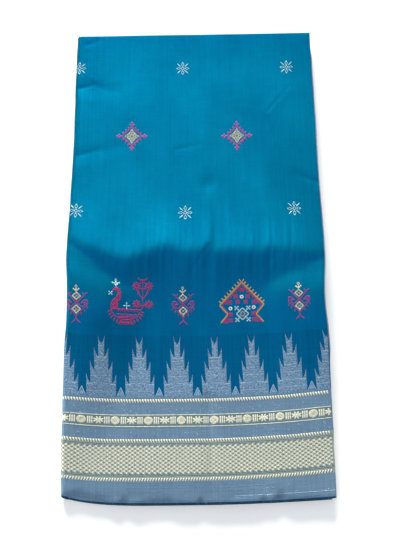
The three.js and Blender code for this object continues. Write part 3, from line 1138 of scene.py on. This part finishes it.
DIAMOND_LINE = (12.3, 13.4)
DIAMOND_TEETH = (0.24, 0.51, 0.78)
TREFOIL = (
    # colour, width, stitch, sides, points
    ("magenta", 1.5, 3.0, 1, (0, -0.6), (0, 3.4)),
    ("magenta", 1.9, 4.0, 1, (0, 4.0), (0, 7.6)),
    ("magenta", 1.3, 4.0, 2, (0.3, 2.2), (3.2, 4.2)),
)
STAR_HOLES = (
    # x, y, half width, half height, in each quarter
    (6.3, 0, 1.0, 0.8),
    (0, 6.9, 0.8, 1.0),
    (3.3, 1.5, 0.9, 0.8),
    (1.6, 4.2, 0.8, 0.9),
)


def diamond_buti(x, place):
    """Magenta diamond with three teeth a side and trefoil corners, round a pale star."""
    pen = Pen(x, place)
    half_x, half_y = DIAMOND_LINE
    corners = diamond((0, 0), half_x, half_y)
    pen.closed("magenta", corners)
    for share in DIAMOND_TEETH:
        for side, up in CORNERS:
            foot = (side * half_x * (1 - share), up * half_y * share)
            tip = (foot[0] + side * 2.3, foot[1] + up * 2.7)
            first = (foot[0] + side * 0.9, foot[1] - up)
            last = (foot[0] - side * 0.9, foot[1] + up)
            pen.line("magenta", first, tip, last, width=0.6)
            pen.line("magenta", foot, tip, width=0.8, stitch=4.0)
    for quarter, tip in enumerate(corners):
        Pen(x + tip[0], place + tip[1], quarter * QUARTER).strokes(TREFOIL)
    holes = [diamond((0, 0), 1.5, 1.6)]
    for across, along, half_width, half_height in STAR_HOLES:
        for centre in sorted({(side * across, up * along) for side, up in CORNERS}):
            holes.append(diamond(centre, half_width, half_height))
    pen.fill("grey_green", pointed(8, 9.4, 10.4, 1.0, 0.55), holes=holes)
    for side, up in CORNERS:
        tip = (side * 3.8, up * 4.3)
        pen.line("beige", (0, up * 10.4), (side * 1.6, up * 6.9), tip, width=0.6, height=0.36)
        pen.line("beige", tip, (side * 6.3, up * 1.6), (side * 9.4, 0), width=0.6, height=0.36)
        pen.line("zari_light", (side * 2.2, up * 3.6), (side * 3.6, up * 4.2), width=0.9, height=0.4)
    pen.ring("beige", (0, 0), 2.1, width=0.5, count=8)


def pale_diamond(pen, centre, half_x, half_y):
    """Beige diamond with a dot in the middle and four dark eyes round it."""
    outline = diamond(centre, half_x, half_y)
    eyes = [diamond(eye, 1.3, 1.25) for eye in diamond(centre, 1.8, 1.75)]
    pen.fill("beige", outline, pitch=0.62, stitch=1.6, width=0.4, holes=eyes)
    pen.closed("beige", outline, width=0.85, height=0.36)


PLANT_LINES = (
    # colour, width, stitch, sides, points
    ("beige", 1.5, 3.0, 1, (-0.6, 13.8), (-4.4, 16.7)),
    ("beige", 1.5, 3.0, 1, (-0.4, 13.8), (3.2, 17.1)),
    ("beige", 1.0, 1.7, 1, (-0.6, 17.6), (-0.5, 11.0)),
    ("beige", 0.9, 1.7, 1, (0, -12.6), (0, -14.4)),
    ("crimson", 1.3, 1.7, 1, (0, 3.0), (0, 0.4)),
    ("crimson", 2.1, 5.0, 1, (0, 1.9), (0, -2.3)),
    ("crimson", 1.3, 1.7, 1, (0, -15.6), (0, -20.2)),
    ("magenta", 0.95, 1.7, 2, (1.6, 0.9), (9.0, 9.4)),
    ("magenta", 0.85, 1.7, 2, (9.0, 9.4), (6.0, 12.2)),
    ("magenta", 0.95, 1.7, 2, (8.8, 9.8), (12.4, 12.3)),
    ("magenta", 0.8, 1.7, 2, (1.4, -0.9), (6.5, -5.6), (10.3, -1.7), (8.8, 0.2), (5.2, -0.8)),
    ("magenta", 0.7, 1.7, 2, (5.2, -0.8), (8.9, 3.2), (12.6, 3.4), (12.8, -1.8), (1.0, -15.0)),
    ("magenta", 1.1, 1.7, 2, (0, -19.8), (5.1, -24.2)),
    ("violet", 0.7, 1.7, 2, (8.9, 3.2), (12.8, -1.8)),
)
PLANT_TEETH = (
    # corners of each tooth of the pot on the right
    ((11.2, -3.4), (13.8, -5.5), (12.6, -8.0)),
    ((8.2, -6.8), (10.8, -8.9), (9.6, -11.4)),
    ((4.4, -10.7), (7.0, -12.8), (5.8, -15.3)),
    ((9.8, 3.3), (12.9, 3.5), (12.6, 0.2)),
)


def plant(x, place):
    """Tall plant in a toothed pot: two beige diamonds, coiled leaves and a forked foot."""
    pen = Pen(x, place)
    pen.ring("beige", (-0.6, 19.3), 1.35, width=0.85, count=8)
    pale_diamond(pen, (-0.3, 7.6), 5.0, 4.4)
    pale_diamond(pen, (-0.1, -8.0), 5.2, 4.9)
    pen.strokes(PLANT_LINES)
    for outline in PLANT_TEETH:
        pen.fills("magenta", outline, pitch=0.6, stitch=1.6, width=0.44)
    pen.fill("magenta", diamond((0, -15.2), 1.7, 1.6))


def flower(pen, centre, radius):
    """Eight crimson petals round a small ring."""
    nears = oval(8, 0.2 * radius, 0.2 * radius, centre)
    for near, far in zip(nears, oval(8, radius, radius, centre)):
        pen.line("crimson", near, far, width=0.27 * radius, stitch=2 * radius)
    pen.ring("crimson", centre, 0.3 * radius, width=0.6, count=6)


def cross(pen, centre, reach, colour, turn, width):
    """Four short petals round a point."""
    feet = oval(4, 0.35 * reach, 0.35 * reach, centre, turn)
    for foot, tip in zip(feet, oval(4, reach, reach, centre, turn)):
        pen.line(colour, foot, tip, width=width * 1.25)
        pen.line(colour, centre, foot, width=width * 0.7)


BIRD_NECK = (
    # round from the front of the chest, over the head, to the back
    (-17.2, 0.2), (-17.2, 6.6), (-15.7, 10.4), (-11.0, 15.2), (-8.9, 19.4), (-9.4, 22.8),
    (-12.2, 24.0), (-15.9, 21.9), (-14.8, 24.6), (-11.4, 27.0), (-7.8, 24.8), (-6.5, 20.4),
    (-6.5, 12.6), (-10.0, 9.2), (-10.0, 0.2),
)
BIRD_LINES = (
    # colour, width, stitch, sides, points
    ("crimson", 0.95, 1.7, 1, (-10.2, -0.2), (16.4, -0.2)),
    ("violet", 0.7, 1.3, 1, (-12.0, -5.6), (13.2, -5.6)),
    ("violet", 0.8, 1.1, 1, (-10.6, -7.0), (11.6, -7.0)),
    ("magenta", 0.8, 1.7, 1, (-9.4, -8.6), (10.2, -8.6)),
    ("crimson", 1.0, 1.7, 1, (-8.4, -10.0), (9.0, -10.0)),
    ("crimson", 0.7, 1.7, 1, (-7.4, -15.6), (8.0, -15.6)),
)
CREST_LINES = (
    # colour, width, stitch, sides, points, from the middle of the crest
    ("white", 1.0, 1.7, 1, (0, 29.8), (0, 27.4)),
    ("pale_blue", 1.2, 1.7, 1, (-1.0, 32.0), (1.0, 32.0)),
    ("white", 1.2, 1.7, 2, (1.4, 31.8), (4.0, 32.6)),
    ("white", 1.1, 1.7, 2, (4.2, 33.6), (4.0, 31.4)),
    ("white", 0.8, 1.7, 2, (0, 29.4), (2.4, 31.0)),
)
TAIL_LINES = (
    # colour, width, stitch, sides, points, from the stem of the tail
    ("crimson", 1.1, 1.7, 2, (5.9, 38.4), (1.6, 35.2)),
    ("crimson", 1.1, 1.7, 1, (-1.6, 35.2), (1.6, 35.2)),
    ("violet", 0.5, 1.7, 1, (0, 34.0), (0, 5.0)),
    ("crimson", 0.7, 1.7, 1, (0, 4.2), (-1.6, 0.4)),
    ("magenta", 0.6, 1.7, 2, (0, 33.8), (3.6, 31.6)),
    ("crimson", 1.2, 1.7, 2, (0, 25.2), (3.6, 26.8)),
    ("crimson", 1.1, 1.7, 2, (6.0, 24.4), (5.4, 21.6)),
    ("crimson", 2.3, 6.0, 2, (5.6, 22.4), (4.6, 18.2)),
    ("crimson", 0.9, 1.7, 2, (4.4, 18.8), (0, 13.6)),
    ("crimson", 1.2, 1.7, 2, (0, 4.2), (3.4, 6.2)),
)
TAIL_BUDS = (
    # height of the root, half width, length
    (36.6, 3.0, 3.0),
    (24.6, 1.5, 3.2),
    (14.6, 1.6, 4.0),
)


def bird(x, place):
    """Peacock with a boat-shaped body, fringed below, and flowers for its tail."""
    pen = Pen(x, place)
    pen.fill("crimson", BIRD_NECK, pitch=0.8, width=0.52)
    pen.line("crimson", *BIRD_NECK, height=0.34)
    keel = [(-17.0 * math.cos(turn), -12.4 * math.sin(turn)) for turn in np.linspace(0, math.pi, 11)[1:-1]]
    pen.closed("crimson", [(17.0, 0.2), (-17.4, 0.2), *keel], width=0.95)
    for index in range(7):
        pen.fill("crimson", tooth((-8.6 + index * 3.7, -0.6), 1.5, 2.4))
    pen.strokes(BIRD_LINES)
    for step in range(6):
        turn = math.radians(6 + step * 13.0)
        root = (18.0 * math.cos(turn), -13.0 * math.sin(turn) - 0.8)
        tip = (21.4 * math.cos(turn + 0.04), -16.6 * math.sin(turn) - 2.2)
        pen.both("crimson", root, tip, width=1.35, stitch=6.0)
    for middle in (-5.0, 0.2, 5.4):
        pen.ring("crimson", (middle, -13.6), 1.55, width=0.95, count=8)
    for index in range(7):
        foot = -8.6 + index * 2.6
        pen.line("crimson", (foot + 1.4, -15.4), (foot + 0.6, -17.8), width=1.5, stitch=4.0)
    crest = Pen(x - 11.9, place)
    crest.closed("white", diamond((0, 36.0), 1.3, 1.6), width=0.8)
    crest.closed("white", diamond((0, 32.0), 1.8, 2.4), width=0.8)
    crest.strokes(CREST_LINES)
    cross(pen, (-18.2, 19.4), 3.1, "white", math.pi / 4, 1.1)
    cross(pen, (0.8, 4.6), 4.1, "white", 0.0, 1.1)
    tail = Pen(x + 19.6, place)
    tail.strokes(TAIL_LINES)
    for height, half, length in TAIL_BUDS:
        tail.fill("crimson", tooth((0, height), half, length))
    for side, height in ((-1, 28.8), (-1, 7.0), (1, 28.8), (1, 7.0)):
        flower(tail, (side * 7.2, height), 5.3)


SHRINE_LINE = (
    # apex, eave, waist and foot of the right half
    (0, 25.8), (26.2, -1.4), (16.7, -12.5), (25.2, -22.6),
)
SHRINE_INNER = ((0, 22.8), (23.2, -1.4), (15.1, -12.5), (22.2, -22.6))
SHRINE_FLOWERS = (
    (0.0, 16.8), (-7.0, 9.0), (7.0, 9.0), (-14.2, 2.2), (-4.7, 2.6), (4.8, 2.4), (14.4, 2.2),
    (-13.6, -12.6), (13.6, -11.8), (-13.6, -19.6), (14.2, -19.0), (-19.2, -20.6), (19.6, -20.0),
)
SHRINE_BASE = (0.6, -12.0)
BASE_FLOWERS = ((-6.3, -4.9), (7.5, -4.8), (-5.7, -19.2), (7.6, -18.9))


def shrine(x, place):
    """Gabled shrine in ochre, filled with small flowers, over a pale blue diamond."""
    pen = Pen(x, place)
    apex, eave = SHRINE_LINE[:2]
    pen.both("ochre", apex, eave, width=1.9, height=0.34)
    pen.both("ochre", (-3.0, 29.4), (0.6, 25.0), width=1.0, height=0.36)
    pen.both("ochre", *SHRINE_LINE[1:], width=1.8, height=0.34)
    for index in range(8):
        share = 0.10 + index * 0.119
        root = (eave[0] * share, apex[1] + (eave[1] - apex[1]) * share)
        pen.both("ochre", root, (root[0] + 2.4, root[1] + 3.6), width=1.1, stitch=5.0)
        pen.both("ochre", (root[0] - 1.0, root[1] + 1.2), (root[0] + 1.6, root[1] + 2.2), width=0.8)
    pen.both("magenta", *SHRINE_INNER, width=0.6)
    for index in range(6):
        share = 0.16 + index * 0.14
        root = (SHRINE_INNER[1][0] * share, SHRINE_INNER[0][1] * (1 - share) - 0.3)
        pen.fills("crimson", tooth(root, 1.5, 2.9), pitch=0.5, stitch=1.6, width=0.55)
    for centre in SHRINE_FLOWERS:
        cross(pen, centre, 3.1, "crimson", math.pi / 4, 1.7)
    for across in (-18.8, 18.6):
        cross(pen, (across, 1.6), 2.0, "crimson", math.pi / 4, 1.3)
    for centre in ((0, 8.6), (-13.6, -5.2), (14.0, -4.4)):
        pen.ring("bright_white", centre, 1.75, width=1.45)
        pen.fill("ink", diamond(centre, 0.8, 0.8))
    pen.closed("pale_blue", diamond(SHRINE_BASE, 7.3, 7.2), width=1.25)
    base = Pen(x + SHRINE_BASE[0], place + SHRINE_BASE[1])
    for side, up in CORNERS:
        base.line("pale_blue", (side * 4.8, up * 4.32), (side * 2.64, up * 2.4), width=0.7)
    base.closed("grey_green", diamond((0, 0), 3.2, 3.1), width=1.0)
    base.line("crimson", (-0.8, 0), (0.8, 0), width=1.3)
    for centre in BASE_FLOWERS:
        cross(pen, centre, 3.3, "pale_blue", math.pi / 4, 1.35)


FIELD_MOTIFS = (
    # motif, x, place along the cloth
    (star_buti, -148.2, 249.0),
    (star_buti, -14.9, 249.0),
    (star_buti, 120.1, 249.0),
    (star_buti, -144.0, 41.3),
    (star_buti, -12.6, 41.3),
    (star_buti, 120.2, 43.2),
    (diamond_buti, -79.4, 148.9),
    (diamond_buti, 53.0, 148.6),
    (plant, -140.7, -75.2),
    (plant, -15.9, -74.4),
    (plant, 122.2, -73.4),
    (bird, -83.2, -81.3),
    (shrine, 53.6, -75.0),
)


# Woven border

# The bands run from the corner of the left fold to the right edge
BAND_LEFT = FLAT_LEFT - 23.0
TEMPLE_CENTRES = (-153.3, -111.4, -67.8, -23.6, 20.2, 63.4, 107.0, 150.4)
SMALL_TEMPLES = (-133.0, -89.6, -45.7, -1.7, 41.8, 85.2, 128.8)
TEMPLE_SIDE = (
    # half width, place
    (0.0, -122.4),
    (2.6, -118.0),
    (4.1, -111.7),
    (3.6, -119.6),
    (3.4, -138.8),
    (6.0, -133.8),
    (8.3, -126.4),
    (7.8, -153.6),
    (10.4, -149.4),
    (12.8, -141.6),
    (12.1, -169.2),
    (14.8, -164.6),
    (16.9, -156.9),
    (16.5, -183.4),
)
TEMPLE_BODY = (
    # foot of each step, half width
    (-138.6, 2.8),
    (-153.2, 7.2),
    (-168.8, 11.6),
    (-183.4, 16.0),
)
TEMPLE_TOP = -116.0
TEMPLE_LEAN = (0.9, 2.7)
SPECKLE = np.random.RandomState(41)


def inside_front(x):
    return BAND_LEFT < x < HALF_WIDTH - 1.2


def leaning(x, place):
    """The upright yarns of the border lean to the right, more so at its right end."""
    share = (x + HALF_WIDTH) / (2 * HALF_WIDTH)
    lean = TEMPLE_LEAN[0] + (TEMPLE_LEAN[1] - TEMPLE_LEAN[0]) * share
    return x + lean * (TEMPLE_TOP - place) / 60.0


def clipped(outline):
    low, high = BAND_LEFT, HALF_WIDTH - 1.0
    return [(min(max(leaning(x, place), low), high), place) for x, place in outline]


def temple_reach(place):
    return next(half for foot, half in TEMPLE_BODY if place >= foot)


TEMPLE_BARS = (
    # place, and its left and right ends from the centre
    (-138.4, -6.4, 6.4),
    (-169.6, -16.0, -9.6),
    (-169.6, 9.6, 16.0),
)
TEMPLE_SPECKS = 46
SPECK_PLACES = (-182.0, -122.0)
TEMPLE_ROWS = 20
TEMPLE_ROW_FIRST = -125.0
TEMPLE_ROW_STEP = 2.9


def temple(centre):
    """A tall stepped point with slender pairs of prongs, in silver floats."""
    right = [(centre + half, place) for half, place in TEMPLE_SIDE]
    left = [(centre - half, place) for half, place in TEMPLE_SIDE[1:]]
    pen = Pen()
    pen.fill("silver", clipped(right + left[::-1]), pitch=0.82, stitch=2.7, width=0.80, height=0.2)

    def level(colour, place, first, last, least, **how):
        points = clipped([(centre + first, place), (centre + last, place)])
        if points[1][0] - points[0][0] > least:
            pen.line(colour, *points, **how)

    for place, first, last in TEMPLE_BARS:
        level("silver_light", place, first, last, 1.0, width=0.85, stitch=2.6, height=0.34)
    for _ in range(TEMPLE_SPECKS):
        place = SPECKLE.uniform(*SPECK_PLACES)
        length = SPECKLE.uniform(0.8, 2.2)
        reach = temple_reach(place)
        first = SPECKLE.uniform(-reach, reach - length)
        level("silver_light", place, first, first + length, 0.6, width=0.6, stitch=3.0, height=0.3)
    for row in range(TEMPLE_ROWS):
        place = TEMPLE_ROW_FIRST - row * TEMPLE_ROW_STEP + SPECKLE.uniform(-0.5, 0.5)
        reach = temple_reach(place)
        last = reach * SPECKLE.uniform(0.3, 1.0)
        colour = "silver_mid" if row % 3 else "silver_light"
        level(colour, place, -reach, last, 3.0, width=0.45, stitch=2.3, height=0.27)


def small_temple(centre):
    pen = Pen(leaning(centre, -178.0))
    outline = [(-4.6, -183.4), (-2.6, -178.6), (0.0, -172.6), (2.6, -178.6), (4.6, -183.4)]
    pen.fill("silver", outline, pitch=0.7, stitch=1.6, width=0.72, height=0.22)
    pen.both("silver_light", (0.0, -173.0), (2.5, -178.6), (4.4, -183.2), width=0.55, stitch=1.2, height=0.3)
    small = [(-1.8, -181.4), (0.0, -178.6), (1.8, -181.4), (-1.8, -181.4)]
    pen.line("silver_light", *small, width=0.5, stitch=1.1)


ROPE_PITCH = 3.06


def rope(band, lean):
    """A cord of slanted cream floats."""
    low, high = band
    for index in range(int((HALF_WIDTH - BAND_LEFT) / ROPE_PITCH)):
        x = BAND_LEFT + 1.2 + index * ROPE_PITCH
        if not inside_front(x + 2.4):
            continue
        reach = lean * SPECKLE.uniform(0.8, 1.2)
        THREADS.add("zari_light", (x + reach, low + 0.1), (x - reach, high - 0.1), 1.5, 0.5)
        THREADS.add("eye", (x + reach + 1.5, low + 0.4), (x - reach + 1.5, high - 0.4), 1.15, 0.2)


def long_line(colour, place, width=1.0, stitch=3.2, height=0.3, first=BAND_LEFT, last=HALF_WIDTH - 1.0):
    pen = Pen()
    step = 24.0
    for x in np.arange(first, last, step):
        pen.line(colour, (x, place), (min(x + step, last), place), width=width, stitch=stitch, height=height)


ROSETTE_FIRST = -131.9
ROSETTE_PITCH = 37.66
BAR_OFFSET = 9.4


def rosette_band():
    """Round flowers, eight-pointed stars and groups of three bars, between two lines."""
    middle = sum(ROSETTE_BAND) / 2
    long_line("pale_line", LINE_1, 0.85, 2.6, 0.3)
    long_line("pale_line", LINE_2, 0.85, 2.6, 0.3)
    for index in range(-1, 9):
        centre = ROSETTE_FIRST + index * ROSETTE_PITCH
        if inside_front(centre):
            round_flower(Pen(centre, middle, left=BAND_LEFT))
        star = centre + ROSETTE_PITCH / 2
        if inside_front(star - 1.0):
            point_star(Pen(star, middle, left=BAND_LEFT))
        for side in (-1, 1):
            three_bars(Pen(centre + side * BAR_OFFSET, middle, left=BAND_LEFT))


def round_flower(pen):
    """A full round flower: twelve petals round a small dark ring."""
    outline = pointed(24, 5.5, 4.7, 0.93, 1.0)
    pen.fill("zari", outline, pitch=0.5, stitch=2.0, width=0.56, height=0.3)
    for root, tip in zip(oval(12, 2.2, 2.0), oval(12, 5.1, 4.3)):
        pen.line("zari_light", root, tip, width=0.95, height=0.42)
    pen.ring("eye", (0, 0), 1.7, width=0.5, count=8)
    pen.fill("eye", diamond((0, 0), 0.7, 0.7), height=0.4)


def point_star(pen):
    """Eight slim petals, wider than tall, with dark eyes at both ends."""
    for across, along in oval(8, 6.2, 4.6, first=math.pi / 8):
        pen.line("zari", (0.15 * across, 0.15 * along), (across, along), width=1.8, stitch=2.9, height=0.4)
    pen.both("zari_light", (1.2, 0), (4.0, 0), width=1.1, height=0.4)
    pen.fills("eye", diamond((6.2, 0), 0.9, 1.4), height=0.3)
    pen.fill("zari_light", diamond((0, 0), 1.6, 1.5), height=0.4)


def three_bars(pen):
    for across, colour in ((-2.35, "zari_light"), (0.0, "zari"), (2.35, "zari")):
        pen.line(colour, (across, -4.3), (across, 4.3), width=1.65, stitch=4.4, height=0.34)


LATTICE_STEP = (6.32, 2.26)
LATTICE_LINES = (
    # outwards from the edge, colour and width
    (-0.7, "slate_line", 0.75),
    (1.0, "slate_line", 0.75),
)
CREASE_BLUR = (5.0, 17.0)


def honeycomb():
    """Small raised dots with dark eyes between them, joined by slanted threads."""
    low, high = LATTICE[0] + 2.0, LATTICE[1] - 1.9
    rows = int((high - low) / LATTICE_STEP[1]) + 1
    columns = int((HALF_WIDTH - BAND_LEFT) / LATTICE_STEP[0]) + 2
    for row in range(rows):
        place = low + row * LATTICE_STEP[1]
        for column in range(columns):
            x = BAND_LEFT - 1.0 + column * LATTICE_STEP[0] + (row % 2) * LATTICE_STEP[0] / 2
            x += SPECKLE.uniform(-0.25, 0.25)
            along = place + SPECKLE.uniform(-0.15, 0.15)
            # Along the crease near x = 13 the dots are smaller and in a duller zari.
            on_crease = CREASE_BLUR[0] < x < CREASE_BLUR[1]
            half = LATTICE_STEP[0] / 2
            dot(x, along, "zari" if on_crease else "zari_light", 1.1 if on_crease else 1.4, 0.34)
            dot(x + half, along, "eye", 0.8 if on_crease else 1.05, 0.16)
            if inside_front(x) and inside_front(x + 3.0):
                for up in (1, -1):
                    start, end = (x + 0.5, along + up * 0.5), (x + half - 0.9, along + up * 2.2)
                    THREADS.add("zari", start, end, 0.6, 0.24)
    for edge, outwards in ((LATTICE[1], 1), (LATTICE[0], -1)):
        for shift, colour, width in LATTICE_LINES:
            long_line(colour, edge + outwards * shift, width, 2.8, 0.26)


def dot(x, along, colour, half, height):
    if inside_front(x - half) and inside_front(x + half):
        THREADS.add(colour, (x, along - half), (x, along + half), half * 1.2, height)


FLECKS = (
    # lowest place, highest place, number of flecks
    (-203.6, -191.6, 400),
    (-231.0, -219.4, 330),
    (-300.5, -281.0, 90),
)


def slate_flecks():
    """Pale flecks and fine lines in the plain bands, and the dark rim."""
    pen = Pen()
    for low, high, count in FLECKS:
        for _ in range(count):
            x = SPECKLE.uniform(FLAT_LEFT + 2, HALF_WIDTH - 5)
            place = low + (high - low) * SPECKLE.beta(1.0, 1.7)
            length = SPECKLE.uniform(0.4, 1.5)
            colour = "silver_light" if SPECKLE.uniform() < 0.4 else "slate_fleck"
            pen.line(colour, (x, place), (x + length, place), width=0.5, stitch=3.0, height=0.16)
    for place in (-281.0, -283.6, -286.4, -290.4, -300.4):
        first = SPECKLE.uniform(FLAT_LEFT, -40.0)
        last = SPECKLE.uniform(60.0, HALF_WIDTH - 2)
        long_line("slate_fleck", place, 0.4, 3.6, 0.12, first=first, last=last)
    long_line("silver_light", PALE_LINE, 0.34, 2.4, 0.14, first=40.0)
    long_line("slate_fleck", -184.6, 0.7, 1.6, 0.22)
    for place in (RIM[0] + 0.4, (RIM[0] + RIM[1]) / 2 + 0.2):
        long_line("navy", place, 0.95, 3.6, 0.2)


def woven_border():
    for centre in TEMPLE_CENTRES:
        temple(centre)
    for centre in SMALL_TEMPLES:
        small_temple(centre)
    for band, lean in ((ROPE_1, 0.85), (ROPE_2, 0.85), (ROPE_3, -0.8)):
        rope(band, lean)
    rosette_band()
    honeycomb()
    slate_flecks()


# Build everything

outer_cloth()
under_layer()
hidden_layers()
for draw, x, place in FIELD_MOTIFS:
    draw(x, place)
woven_border()
FIELD_COLOURS = ("white", "bright_white", "crimson", "magenta", "violet", "beige", "ochre", "pale_blue")
for colour in THREADS.bars:
    if colour in FIELD_COLOURS:
        THREADS.make(colour, colour + "_stitches")
    else:
        THREADS.make(colour, colour + "_threads")


# Floor, lights and camera

def direction(azimuth, elevation):
    """Away from the packet, at a compass angle round it and a height above the floor."""
    turn, up = math.radians(azimuth), math.radians(elevation)
    return Vector((math.sin(turn) * math.cos(up), -math.cos(turn) * math.cos(up), math.sin(up)))


def aim(piece, towards, track):
    piece.rotation_mode = "QUATERNION"
    piece.rotation_quaternion = towards.to_track_quat(track, "Y")


FLOOR_REACH = 4.0
FLOOR_CORNERS = ((-1, -1), (1, -1), (1, 1), (-1, 1))
FLOOR_LOOK = {
    "Base Color": (0.93, 0.93, 0.93, 1.0),
    "Roughness": 0.9,
    "Specular IOR Level": 0.1,
    "Emission Color": (1.0, 1.0, 1.0, 1.0),
    "Emission Strength": 0.3,
}


def floor():
    mesh = bpy.data.meshes.new("floor")
    mesh.from_pydata([(x * FLOOR_REACH, y * FLOOR_REACH, 0.0) for x, y in FLOOR_CORNERS], [], [(0, 1, 2, 3)])
    mesh.materials.append(new_material("Pale floor", FLOOR_LOOK)[0])
    add_object("floor", mesh)


LAMPS = (
    # name, compass angle, elevation, strength, angle of the disc, colour
    ("key", -172.0, 20.0, 5.9, 26.0, (1.0, 0.99, 0.90)),
    ("fill", -40.0, 60.0, 0.3, 60.0, (0.9, 0.95, 1.0)),
    ("rim", -92.0, 14.0, 1.1, 30.0, (1.0, 1.0, 0.95)),
)
SKY_COLOUR = (0.86, 0.93, 1.0, 1.0)
SKY_STRENGTH = 0.40


def lamps():
    """Soft far lights."""
    for name, azimuth, elevation, strength, disc, colour in LAMPS:
        data = bpy.data.lights.new(name, "SUN")
        data.energy = strength
        data.color = colour
        data.angle = math.radians(disc)
        aim(add_object(name, data), direction(azimuth, elevation), "Z")


def sky():
    world = bpy.data.worlds.new("Studio")
    world.use_nodes = True
    background = world.node_tree.nodes["Background"]
    background.inputs["Color"].default_value = SKY_COLOUR
    background.inputs["Strength"].default_value = SKY_STRENGTH
    bpy.context.scene.world = world


CAMERA_TARGET = Vector((0.0140, -0.0382, 0.015))
CAMERA_DISTANCE = 1.143
CAMERA_AZIMUTH = -2.55
CAMERA_ELEVATION = 70.6
CAMERA_ROLL = 1.86
CAMERA_LENS = 61.6


def camera():
    data = bpy.data.cameras.new("camera")
    data.lens = CAMERA_LENS
    data.sensor_width = 36.0
    data.clip_start = 0.05
    data.clip_end = 20.0
    away = direction(CAMERA_AZIMUTH, CAMERA_ELEVATION)
    piece = add_object("camera", data)
    piece.location = CAMERA_TARGET + away * CAMERA_DISTANCE
    aim(piece, -away, "-Z")
    piece.rotation_quaternion @= Quaternion((0.0, 0.0, 1.0), math.radians(CAMERA_ROLL))
    bpy.context.scene.camera = piece


floor()
lamps()
sky()
camera()
bpy.context.scene.view_settings.view_transform = "Standard"
